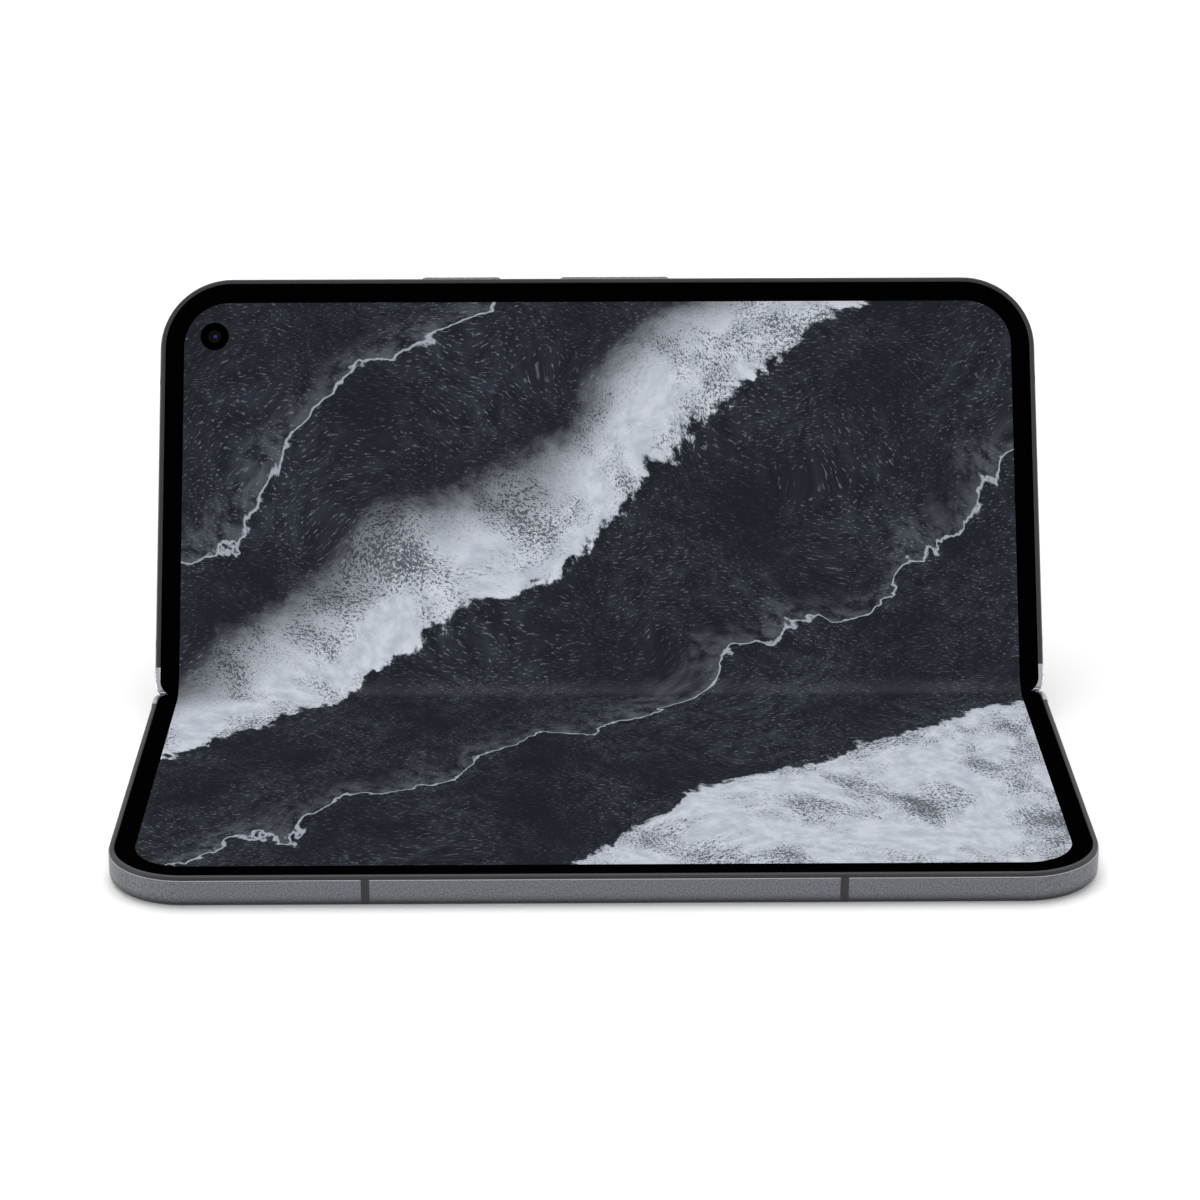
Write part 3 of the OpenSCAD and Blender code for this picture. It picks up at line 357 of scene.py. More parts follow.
def grid_faces(rows, columns, closed=False):
    """Quads of a rows x columns grid of points; each row is a ring where closed is set."""
    i, j = np.meshgrid(np.arange(rows - 1), np.arange(columns if closed else columns - 1), indexing="ij")
    beside = (j + 1) % columns
    quads = [i * columns + j, (i + 1) * columns + j, (i + 1) * columns + beside, i * columns + beside]
    return np.stack(quads, axis=-1).reshape(-1, 4).tolist()


def new_piece(name, points, faces, sharp=40, uv=None):
    """An object from points and faces, smooth except over edges sharper than so many degrees."""
    mesh = bpy.data.meshes.new(name)
    mesh.from_pydata(points.reshape(-1, 3).tolist(), [], faces)
    if uv is not None:
        corners = np.zeros(len(mesh.loops), np.int32)
        mesh.loops.foreach_get("vertex_index", corners)
        layer = mesh.uv_layers.new(name="UVMap")
        layer.data.foreach_set("uv", uv.reshape(-1, 2)[corners].astype(np.float32).ravel())
    mesh.polygons.foreach_set("use_smooth", [True] * len(mesh.polygons))
    mesh.validate()
    mesh.update()
    mesh.set_sharp_from_angle(angle=math.radians(sharp))
    piece = bpy.data.objects.new(name, mesh)
    bpy.context.scene.collection.objects.link(piece)
    return piece


def swept(name, rows, sharp=40):
    """A closed ring of points carried along a path, rows x ring, with a flat face at both ends."""
    count, ring = rows.shape[:2]
    faces = grid_faces(count, ring, closed=True)
    faces += [list(range(ring)), list(range(count * ring - 1, (count - 1) * ring - 1, -1))]
    return turned_outwards(new_piece(name, rows, faces, sharp))


def revolved(name, profile, centre, steps=64):
    """A profile of (radius, z) turned about an axis that stands on the upper half at centre."""
    radius, z = np.array(profile).T
    angle = np.linspace(0, 2 * math.pi, steps, endpoint=False)
    x = centre[0] + radius[:, None] * np.cos(angle)
    y = centre[1] + radius[:, None] * np.sin(angle)
    points = np.stack([x, y, np.broadcast_to(z[:, None], x.shape)], axis=-1)
    return swept(name, upper_place(points))


def turned_outwards(piece):
    """Turns every face of a closed mesh outwards, by the sign of the volume that it encloses."""
    mesh = piece.data
    mesh.calc_loop_triangles()
    corners = np.zeros(len(mesh.loop_triangles) * 3, np.int32)
    mesh.loop_triangles.foreach_get("vertices", corners)
    points = np.zeros(len(mesh.vertices) * 3)
    mesh.vertices.foreach_get("co", points)
    a, b, c = points.reshape(-1, 3)[corners.reshape(-1, 3)].transpose(1, 0, 2)
    if np.einsum("ij,ij->i", a, np.cross(b, c)).sum() < 0:
        mesh.flip_normals()
    return piece


def node_points(node):
    """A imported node's points."""
    return np.array([v.co for v in frame["nodes"][node].data.vertices])


def upper_points(node):
    """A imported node's points in the upper half frame."""
    return turned(node_points(node), UPPER_AXIS, -2 * REST_TURN, (AXIS_Y, AXIS_Z))


def part_places(node):
    """Middle (x, y) and lowest z, in the upper half frame, of each part of a node: parts stand
    apart along the hinge."""
    points = upper_points(node)
    points = points[np.argsort(points[:, 0])]
    cuts = np.flatnonzero(np.diff(points[:, 0]) > PART_GAP) + 1
    return [np.append((part.max(axis=0)[:2] + part.min(axis=0)[:2]) / 2, part[:, 2].min())
            for part in np.split(points, cuts)]


def outline(start, corner_steps=24):
    """Outline of a half from y = start at its hinge side round both far corners and back: its
    points (x, y) and its outward directions."""
    radius = body().corner_r
    angle = np.linspace(0, math.pi / 2, corner_steps)
    right = np.stack([np.cos(angle), np.sin(angle)], axis=-1)
    left = right[::-1] * (-1, 1)
    x, y = HALF_W - radius, HALF_L - radius
    corners = (x, y) + radius * right, (-x, y) + radius * left
    points = np.concatenate([[(HALF_W, start)], *corners, [(-HALF_W, start)]])
    outward = np.concatenate([[(1, 0)], right, left, [(-1, 0)]])
    return points, outward


def carried(points, outward, profile):
    """Carries a profile of (distance out, z) along a path; gives rows x profile points."""
    out, z = np.array(profile).T
    flat = points[:, None, :] + outward[:, None, :] * out[None, :, None]
    return np.concatenate([flat, np.broadcast_to(z[None, :, None], flat.shape[:2] + (1,))], axis=-1)


def arc_points(centre, radius, start, end, steps):
    """Points of an arc between two angles in degrees."""
    angle = np.radians(np.linspace(start, end, steps))
    return [(centre[0] + radius * math.cos(a), centre[1] + radius * math.sin(a)) for a in angle]


def dome(radius, z, rise, steps=10):
    """Points (radius, z) of a shallow spherical cap, from its edge to just before its middle."""
    return [(radius * r, z + rise * (1 - r * r)) for r in np.linspace(1, 0.02, steps)]


def pill_rows(long, wide, rings, steps=20):
    """Rows of points (along, across, height) of a slot shape that rises in rings of (inset, height)."""
    half = (long - wide) / 2
    angle = np.radians(np.linspace(-90, 90, steps))
    rows = []
    for inset, height in rings:
        radius = wide / 2 - inset
        right = np.stack([half + radius * np.cos(angle), radius * np.sin(angle)], axis=-1)
        flat = np.concatenate([right, -right])
        rows.append(np.column_stack([flat, np.full(len(flat), height)]))
    return np.array(rows)


# Materials: expressions on the sockets of a node tree


def math_node(operation):
    """A method that adds a Math node for a Number and another value."""
    return lambda self, other: self.math(operation, self, other)


class Number:
    """A value in a material's node tree; its operators add Math nodes."""

    def __init__(self, finish, socket):
        self.finish = finish
        self.socket = socket

    def math(self, operation, *values):
        return Number(self.finish, self.finish.node("ShaderNodeMath", {"operation": operation}, values))

    __add__ = __radd__ = math_node("ADD")
    __sub__ = math_node("SUBTRACT")
    __mul__ = math_node("MULTIPLY")
    __lt__ = math_node("LESS_THAN")
    __gt__ = math_node("GREATER_THAN")
    most = math_node("MAXIMUM")

    def __rsub__(self, other):
        return self.math("SUBTRACT", other, self)

    def __abs__(self):
        return self.math("ABSOLUTE", self)

    def ramp(self, start, end):
        """Smooth step from 0 at start to 1 at end."""
        settings = {"interpolation_type": "SMOOTHSTEP"}
        inputs = {"Value": self, "From Min": start, "From Max": end}
        return Number(self.finish, self.finish.node("ShaderNodeMapRange", settings, inputs))


class Finish:
    """A material with one Principled shader, and the calls that feed it."""

    def __init__(self, name, **constants):
        self.material = bpy.data.materials.new(name)
        self.material.use_nodes = True
        self.tree = self.material.node_tree
        self.shader = self.tree.nodes["Principled BSDF"]
        for socket, value in constants.items():
            self.set(socket.replace("_", " ").title().replace("Ior", "IOR"), value)

    def connect(self, target, value):
        """Links a Number or socket to target, or sets target's own value."""
        value = value.socket if isinstance(value, Number) else value
        if isinstance(value, bpy.types.NodeSocket):
            self.tree.links.new(value, target)
        elif target.type == "RGBA" and len(value) == 3:
            target.default_value = (*value, 1)
        else:
            target.default_value = value

    def set(self, socket, value):
        self.connect(self.shader.inputs[socket], value)

    def node(self, kind, settings, inputs, output=0):
        """Adds a node: its settings first, then its inputs by name or in order; gives an output."""
        node = self.tree.nodes.new(kind)
        for key, value in settings.items():
            setattr(node, key, value)
        pairs = inputs.items() if isinstance(inputs, dict) else enumerate(inputs)
        for key, value in pairs:
            self.connect(node.inputs[key], value)
        return node.outputs[output]

    def mapped(self, vector, scale=(1, 1, 1), turn=0.0, move=(0, 0, 0)):
        """A vector stretched by scale, turned about Z and moved."""
        inputs = {"Vector": vector, "Location": move, "Rotation": (0, 0, turn), "Scale": scale}
        return self.node("ShaderNodeMapping", {}, inputs)

    def place(self, scale=(1, 1, 1), turn=0.0):
        """The point on the object, stretched by scale and turned about Z."""
        return self.mapped(self.node("ShaderNodeTexCoord", {}, {}, "Object"), scale, turn)

    def parts(self, vector):
        """The x, y and z of a vector."""
        node = self.tree.nodes.new("ShaderNodeSeparateXYZ")
        self.connect(node.inputs[0], vector)
        return [Number(self, socket) for socket in node.outputs]

    def noise(self, vector, scale, octaves=2.0, roughness=0.5):
        """Fractal noise from 0 to 1; scale is in waves per unit of vector."""
        inputs = {"Vector": vector, "Scale": scale, "Detail": octaves, "Roughness": roughness}
        return Number(self, self.node("ShaderNodeTexNoise", {}, inputs, "Fac"))

    def mix(self, part, low, high):
        """Colour between low and high, by the sockets of a colour mix."""
        node = self.tree.nodes.new("ShaderNodeMix")
        node.data_type = "RGBA"
        for key, value in ((0, part), (6, low), (7, high)):
            self.connect(node.inputs[key], value)
        return node.outputs[2]

    def grain(self, height, depth, strength):
        """Bumps of a given depth from a height of 0 to 1."""
        inputs = {"Height": height, "Distance": depth, "Strength": strength}
        self.set("Normal", self.node("ShaderNodeBump", {}, inputs))


def scaled(values, factor):
    return tuple(min(1.0, v * factor) for v in values)


def half_level(side):
    """Direction and offset that give a point's height over the lip of a half."""
    if side < 0:
        return (0, 0, 1), -HALF_T
    ahead, up = -math.sin(2 * REST_TURN), math.cos(2 * REST_TURN)
    return (0, ahead, up), AXIS_Z - float(UPPER_AXIS[0]) * ahead - float(UPPER_AXIS[1]) * up


def blasted_metal(name, tint, roughness, side=0):
    """Blasted metal: fine grains tint it and set its bumps; broad clouds vary its gloss. On a
    half's frame the lip and the bevel below the rim are polished, and the round foot at the back
    is darkened with painted shade."""
    finish = Finish(name, metallic=0.8)
    point = finish.place()
    grain = finish.noise(point, 1 / METAL_GRAIN, octaves=3, roughness=0.6)
    cloud = finish.noise(point, 1 / METAL_CLOUD)
    tone = finish.mix(grain.ramp(0.36, 0.64), scaled(tint, 0.68), scaled(tint, 1.32))
    gloss = roughness + (cloud - 0.5) * 0.08 + (grain - 0.5) * 0.12
    if side:
        look = body()
        direction, offset = half_level(side)
        dot = {"operation": "DOT_PRODUCT"}
        level = Number(finish, finish.node("ShaderNodeVectorMath", dot, (point, direction), "Value")) + offset
        # painted shade: darker towards the round edge at the back, where shade falls near the floor
        painted_shade = level.ramp(look.painted_shade_h - HALF_T, -HALF_T)
        polished = level > -RIM_H - look.bevel
        tone = finish.mix(painted_shade, tone, scaled(tint, look.painted_shade_share))
        tone = finish.mix(polished, tone, look.polished)
        gloss = gloss * (1 - polished) + polished * look.polished_roughness
    finish.set("Base Color", tone)
    finish.set("Roughness", gloss)
    finish.grain(grain, 0.02 * MM, 0.35)
    return finish.material


def moulded(name, tint, roughness, grain_size=0.15 * MM, depth=0.01 * MM, specular=0.5):
    """Moulded plastic or rubber with a fine even texture."""
    finish = Finish(name, specular_ior_level=specular)
    point = finish.place()
    grain = finish.noise(point, 1 / grain_size, octaves=2)
    cloud = finish.noise(point, 1 / PLASTIC_CLOUD)
    finish.set("Base Color", finish.mix(cloud, scaled(tint, 0.94), scaled(tint, 1.06)))
    finish.set("Roughness", roughness + (grain - 0.5) * 0.1)
    finish.grain(grain, depth, 0.4)
    return finish.material


def black_glass(name, tint=(0.004, 0.004, 0.005), roughness=0.06, specular=0.5):
    """Dark glass with faint smears in its gloss."""
    finish = Finish(name, specular_ior_level=specular)
    smear = finish.noise(finish.place((1, 3, 1), 0.6), 1 / GLASS_SMEAR, octaves=3)
    finish.set("Base Color", finish.mix(smear, scaled(tint, 0.9), scaled(tint, 1.1)))
    finish.set("Roughness", roughness + smear.ramp(0.4, 0.8) * 0.03)
    return finish.material


def painted_reflection_lens(name, dark, bright):
    """Coated lens: dark glass with a coloured reflection painted in patches of its base colour."""
    finish = Finish(name, roughness=0.05, specular_ior_level=0.15)
    painted_reflection_patch = finish.noise(finish.place(), 1 / PAINTED_REFLECTION_PATCH, octaves=1)
    finish.set("Base Color", finish.mix(painted_reflection_patch.ramp(0.35, 0.6), dark, bright))
    return finish.material


def picture(finish, flat):
    """Generic slate with quartz bands, as a colour over the flat screen's place in millimetres."""
    look = screen()
    sway = PICTURE_SWAY
    wave = finish.node("ShaderNodeTexNoise", {}, {"Vector": flat, "Scale": 0.016, "Detail": 3.0}, "Color")
    push = finish.node("ShaderNodeVectorMath", {"operation": "MULTIPLY_ADD"},
                       (wave, (sway, sway, 0), (-sway / 2, -sway / 2, 0)))
    warped = finish.node("ShaderNodeVectorMath", {"operation": "ADD"}, (flat, push))
    x, y, _ = finish.parts(warped)
    across = y * BAND_DIRECTION[1] + x * BAND_DIRECTION[0]
    rough = finish.noise(warped, 0.35, octaves=6, roughness=0.62)
    fine = finish.noise(warped, 1.9, octaves=4, roughness=0.7)
    speck = finish.noise(warped, 4.5, octaves=3, roughness=0.6)
    edge = across + (rough - 0.5) * 9

    # dark stone with small pale flecks in drifts
    drift = finish.noise(warped, 0.045, octaves=3, roughness=0.6)
    slate = finish.mix(rough.ramp(0.3, 0.8) * drift.ramp(0.3, 0.7), look.slate, look.slate_light)
    dashes = finish.noise(finish.mapped(warped, (0.75, 2.6, 1), 0.9), 1.3, octaves=2, roughness=0.55)
    fleck = dashes.ramp(0.57, 0.68) * speck.ramp(0.40, 0.54)
    slate = finish.mix(fleck * (0.12 + drift.ramp(0.32, 0.62) * 0.75), slate, scaled(look.quartz, 0.42))

    # pale bands, crisp on one side and fading on the other, with dark inclusions
    low_band = (edge - LOW_BAND).ramp(0, -1.2)
    high_band = (edge - HIGH_BAND).ramp(0, 1.0) * (edge - HIGH_BAND).ramp(21, 9)
    pale = low_band.most(high_band)
    drifts = finish.noise(warped, 0.075, octaves=3)
    crumbs = (fine * 0.6 + speck * 0.4 + drifts * 0.5).ramp(0.775, 0.835) * drifts.ramp(0.4, 0.56)
    quartz = finish.mix(rough.ramp(0.3, 0.7), look.quartz, look.quartz_light)
    quartz = finish.mix(crumbs * 0.85, quartz, scaled(look.slate_light, 0.8))
    worn = pale * (0.62 + fine.ramp(0.3, 0.55) * 0.4).most(pale.ramp(0.7, 1.0))
    stone = finish.mix(worn, slate, quartz)

    # two thin bright veins that follow the bands at a distance, with a soft halo on one side
    bow = finish.noise(warped, 0.028, octaves=5, roughness=0.55)
    for offset, reach in VEINS:
        line = edge * 0.35 + across * 0.65 - offset + (bow - 0.5) * reach
        vein = abs(line).ramp(0.45, 0.08) * (1 - pale) * (0.6 + fine * 0.8)
        halo = line.ramp(0.0, 0.3) * line.ramp(9, 0.5) * (1 - pale) * rough.ramp(0.35, 0.65)
        stone = finish.mix(halo * 0.28, stone, scaled(look.quartz, 0.5))
        stone = finish.mix(vein * 0.8, stone, look.quartz)
    return stone


def screen_glass():
    """The lit picture inside a rounded rectangle, black round it, and a painted sheen of reflected light on
    the bend.
    """
    look = screen()
    finish = Finish("screen_glass", specular_ior_level=0.0, roughness=0.35, base_color=(0, 0, 0))
    width, depth = 2 * HALF_W / MM, 2 * HALF_L / MM
    uv = finish.node("ShaderNodeTexCoord", {}, {}, "UV")
    flat = finish.mapped(uv, (width, depth, 1), move=(-width / 2, -depth / 2, 0))
    x, y, _ = finish.parts(flat)
    # painted highlight: a faint pale band across the bend stands in for reflected light
    painted_bend_sheen = y.ramp(-2.4, -0.6) * y.ramp(3.2, -0.4)
    stone = finish.mix(painted_bend_sheen * 0.016, picture(finish, flat), (0.9, 0.95, 1))
    radius = look.active_r / MM
    reach_x = (HALF_W - SCREEN_INSET - look.border_side) / MM - radius
    reach_y = (HALF_L - SCREEN_INSET - look.border_end) / MM - radius
    over_x, over_y = (abs(x) - reach_x).most(0), (abs(y) - reach_y).most(0)
    lit = (over_x * over_x + over_y * over_y) < radius * radius
    finish.set("Emission Color", finish.mix(lit, (0, 0, 0), stone))
    finish.set("Emission Strength", look.brightness)
    return finish.material


def dress(material, *names):
    """Gives CAD nodes a material and smooth curved faces: equal points are joined, and edges over
    30 degrees stay sharp."""
    for name in names:
        node = frame["nodes"][name]
        node.data.materials.clear()
        node.data.materials.append(material)
        node.data.polygons.foreach_set("use_smooth", [True] * len(node.data.polygons))
        join = node.modifiers.new("join", "WELD")
        join.merge_threshold = 1e-6
        split = node.modifiers.new("split", "EDGE_SPLIT")
        split.split_angle = math.radians(30)


def finish_piece(piece, material, replaced=(), body_name=None):
    """Gives a new piece its material, replaced nodes and body."""
    piece.data.materials.append(material)
    if replaced:
        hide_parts(*replaced)
    if body_name:
        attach(piece, body_name)


def finish_bent(piece, material, side, node, fold_node):
    """Finishes one half of what runs over the fold: gives it its material, hides the nodes that it
    replaces and keeps its place in its points. The lower one also replaces the node in the bend."""
    finish_piece(piece, material, (node, fold_node) if side < 0 else (node,))
    start, middle = on_screen(np.zeros(2), np.array([side * FOLD_L, 0]), np.zeros(2))
    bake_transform(piece)


# Operators: one for each group of pieces


class PHONE_OT_screen(bpy.types.Operator):
    """Make the folding screen as two sheets that meet in the middle of the bend"""

    bl_idname = "phone.screen"
    bl_label = "Folding screen"

    def sheet(self, side):
        """Grid over (width share, distance from the fold): straight sides, a step at the bend's
        end, and quarter circles at the far corners; UV is the flat place on the open phone."""
        radius = body().corner_r - SCREEN_INSET
        reach = HALF_L - SCREEN_INSET
        bend = np.linspace(0, FOLD_L - BEND_STOP, BEND_STEPS)
        flat = np.linspace(FOLD_L, reach - radius, FLAT_STEPS)
        angle = np.linspace(0, math.pi / 2, CORNER_STEPS)[1:]
        corner = reach - radius + radius * np.sin(angle)
        s = np.concatenate([bend, flat, corner])
        wide = HALF_W - SCREEN_INSET
        half = np.concatenate([
            np.full(len(bend), FOLD_W), np.full(len(flat), wide), wide - radius + radius * np.cos(angle)])
        x = half[:, None] * np.linspace(-1, 1, WIDTH_STEPS)
        s = np.broadcast_to(side * s[:, None], x.shape)
        uv = np.stack([x / (2 * HALF_W) + 0.5, s / (2 * HALF_L) + 0.5], axis=-1)
        return x, s, uv

    def execute(self, context):
        glass = screen_glass()
        for name, (_, half, side) in HALVES.items():
            x, s, uv = self.sheet(side)
            points = on_screen(x, np.where(s == 0, side * NUDGE, s), np.zeros_like(x))
            faces = grid_faces(*x.shape)
            if side > 0:
                faces = [face[::-1] for face in faces]
            piece = new_piece(f"{name}_screen", points, faces, uv=uv)
            thickness = piece.modifiers.new("thickness", "SOLIDIFY")
            thickness.thickness = SCREEN_T
            thickness.offset = -1
            finish_bent(piece, glass, side, f"{name}_display", "fold_display")
        return {"FINISHED"}


class PHONE_OT_borders(bpy.types.Operator):
    """Make the black border films of both halves, which run on through the bend"""

    bl_idname = "phone.borders"
    bl_label = "Black borders"

    def film(self, side):
        """Rows along the border, from the fold round the far end and back; each row is a closed
        ring of (share from outer to inner edge, height)."""
        look = screen()
        outer_r = body().corner_r - SCREEN_INSET
        bend = np.linspace(0, FOLD_L - BEND_STOP, BORDER_BEND_STEPS)
        angle = np.linspace(0, math.pi / 2, BORDER_CORNER_STEPS)
        wide, reach = HALF_W - SCREEN_INSET, HALF_L - SCREEN_INSET
        lit_w, lit_l = wide - look.border_side, reach - look.border_end

        def quarter(width, far, radius):
            """Points from the end of the bend to the middle of the far edge."""
            x = np.concatenate([[width], width - radius + radius * np.cos(angle), [0]])
            y = np.concatenate([[FOLD_L], far - radius + radius * np.sin(angle), [far]])
            return np.stack([x, y], axis=-1)

        def whole(bend_width, width, far, radius):
            """Points from the fold round the far end and back."""
            bent = np.column_stack([np.full(BORDER_BEND_STEPS, bend_width), bend])
            right = np.concatenate([bent, quarter(width, far, radius)])
            return np.concatenate([right, right[-2::-1] * (-1, 1)])

        outer = whole(FOLD_W, wide, reach, outer_r)
        inner = whole(lit_w, lit_w, lit_l, look.active_r)
        edge = 0.04 * MM
        ring = np.array([(0, -OVERLAP), (0, FILM_T), (1 - edge / look.border_side, FILM_T),
                         (1, FILM_T - edge), (1, -OVERLAP)])
        flat = outer[:, None] + (inner - outer)[:, None] * ring[None, :, :1]
        height = np.broadcast_to(ring[None, :, 1], flat.shape[:2])
        s = np.where(flat[..., 1] == 0, NUDGE, flat[..., 1])
        return on_screen(flat[..., 0], side * s, height)

    def execute(self, context):
        black = moulded("black_film", (0.0006, 0.0006, 0.0007), 0.5, specular=0.0)
        for name, (_, half, side) in HALVES.items():
            piece = swept(f"{name}_border", self.film(side))
            finish_bent(piece, black, side, f"{name}_bezel", "fold_bezel_strips")
        dress(black, "lower_corner_guards", "upper_corner_guards")
        return {"FINISHED"}


class PHONE_OT_rims(bpy.types.Operator):
    """Make the soft rims round the screen"""

    bl_idname = "phone.rims"
    bl_label = "Soft rims"

    def profile(self):
        """Section of the rim: rounded outer top edge, small inner bevel."""
        look = body()
        inner = -RIM_INSET - look.rim_w
        bevel = look.rim_bevel
        outer_edge = arc_points((-RIM_INSET - look.rim_r, -look.rim_r), look.rim_r, 0, 90, 9)
        inner_edge = arc_points((inner + bevel, -bevel), bevel, 90, 180, 5)
        return [(-RIM_INSET, -RIM_H), *outer_edge, *inner_edge, (inner, -RIM_H)]

    def execute(self, context):
        look = body()
        soft = moulded("soft_rim", look.rim, 0.58, depth=0.006 * MM, specular=0.3)
        profile = np.array(self.profile())
        middle = profile.mean(axis=0)
        steps = np.linspace(0, 1, 5)
        shrink = look.rim_end_r * (1 - np.sqrt(1 - (1 - steps) ** 2)) / (look.rim_w / 2)
        points, outward = outline(RIM_END)
        ends = []
        for step, small in zip(steps, shrink):
            tapered = middle + (profile - middle) * (1 - small)
            start = points[[0, -1]] + (0, step * look.rim_end_r)
            ends.append(carried(start, outward[[0, -1]], tapered))
        ends = np.array(ends)
        rows = carried(points, outward, profile)
        rows = np.concatenate([ends[:, 0], rows[1:-1], ends[::-1, 1]])
        for name, (place, half, _) in HALVES.items():
            piece = swept(f"{name}_soft_rim", place(rows))
            finish_piece(piece, soft, (f"{name}_rim",), half)
        return {"FINISHED"}


class PHONE_OT_frames(bpy.types.Operator):
    """Finish the metal frames, antenna inserts, spine and back"""

    bl_idname = "phone.frames"
    bl_label = "Frames and back"

    def execute(self, context):
        look = body()
        for name, (_, _, side) in HALVES.items():
            metal = blasted_metal(f"{name}_metal", look.metal, look.metal_roughness, side)
            dress(metal, f"{name}_frame")
        dress(blasted_metal("tray_metal", look.metal, look.metal_roughness), "card_tray")
        dress(blasted_metal("spine_metal", scaled(look.metal, 1.1), 0.3), "spine_cover")
        plastic = moulded("insert_plastic", look.insert, 0.6, specular=0.25)
        dress(plastic, "lower_antenna_bands", "upper_antenna_bands")
        dress(moulded("etched_glass", look.back, 0.5, 0.09 * MM, 0.004 * MM, 0.35), "back_cover")
        dress(black_glass("cover_glass"), "cover_glass")
        return {"FINISHED"}


class PHONE_OT_keys(bpy.types.Operator):
    """Make the power key and the volume rocker with rounded edges"""

    bl_idname = "phone.keys"
    bl_label = "Keys"

    def execute(self, context):
        metal = blasted_metal("key_metal", scaled(body().metal, 1.5), 0.25)
        look = detail()
        edge, crown = look.key_edge, look.key_crown
        for node, moving in (("power_key", "power"), ("volume_rocker", "volume")):
            points = upper_points(node)
            top = points[:, 1].max()
            face = points[points[:, 1] > top - FACE_BAND]
            centre = (face.max(axis=0) + face.min(axis=0)) / 2
            size = face.max(axis=0) - face.min(axis=0)
            rings = [(0, -look.key_depth), (0, -edge)]
            rings += [(edge - x, y - edge) for x, y in arc_points((0, 0), edge, 0, 90, 7)[1:]]
            rings += [(edge + CROWN_W / 2, crown * 2 / 3), (edge + CROWN_W, crown)]
            along, across, height = np.moveaxis(pill_rows(size[0], size[2], rings), -1, 0)
            rows = np.stack([centre[0] + along, top - crown + height, centre[2] + across], axis=-1)
            piece = swept(f"{moving}_cap", upper_place(rows), sharp=50)
            finish_piece(piece, metal, (node,), moving)
        return {"FINISHED"}


class PHONE_OT_screen_camera(bpy.types.Operator):
    """Make the camera that looks through the screen: disc, ring, lens and a coated spot with a painted glint
    """

    bl_idname = "phone.screen_camera"
    bl_label = "Screen camera"

    def execute(self, context):
        look = detail()
        centre = part_places("selfie_camera")[0][:2]
        edge = 0.03 * MM
        top = SCREEN_Z + FILM_T
        floor = top - look.disc_depth
        glass_r = 0.65 * look.lens_r
        disc = [(look.disc_r, SCREEN_Z - OVERLAP), (look.disc_r, top - edge), (look.disc_r - edge, top),
                (look.lens_r + 0.08 * MM, top), (look.lens_r, floor), (POLE_R, floor)]
        ring = [(look.lens_r - 0.02 * MM, floor - OVERLAP), (look.lens_r - 0.05 * MM, floor + edge),
                (glass_r + edge, floor + edge), (glass_r, floor)]
        lens = [(glass_r - OVERLAP, floor), *dome(glass_r - OVERLAP, floor + OVERLAP / 2, edge)]
        painted_glint_profile = [(look.painted_glint_r, floor + 2 * OVERLAP), *dome(look.painted_glint_r, floor + edge, 0.04 * MM)]
        black = black_glass("camera_disc", (0.0003, 0.0003, 0.0004), 0.3, 0.0)
        grey = moulded("camera_ring", (0.008, 0.0072, 0.005), 0.5, specular=0.0)
        glass = black_glass("screen_lens_glass", (0.0008, 0.0006, 0.0012), 0.05, 0.05)
        # painted glint: the violet base colour of the coated spot stands in for a reflection in the lens
        # coating
        lens_painted_reflection = painted_reflection_lens("screen_lens_painted_glint", scaled(look.painted_glint, 0.1), look.painted_glint)
        for kind, profile, place, material, slot in (
                ("disc", disc, centre, black, "black_film"),
                ("ring", ring, centre, grey, "camera_black"),
                ("lens", lens, centre, glass, "lens_glass"),
                ("painted_glint", painted_glint_profile, centre + PAINTED_GLINT_PLACE, lens_painted_reflection, "lens_glass")):
            piece = revolved(f"screen_camera_{kind}", profile, place)
            finish_piece(piece, material, body_name="upper_half")
        dress(black, "selfie_camera", "cover_camera", "cover_panel")
        return {"FINISHED"}


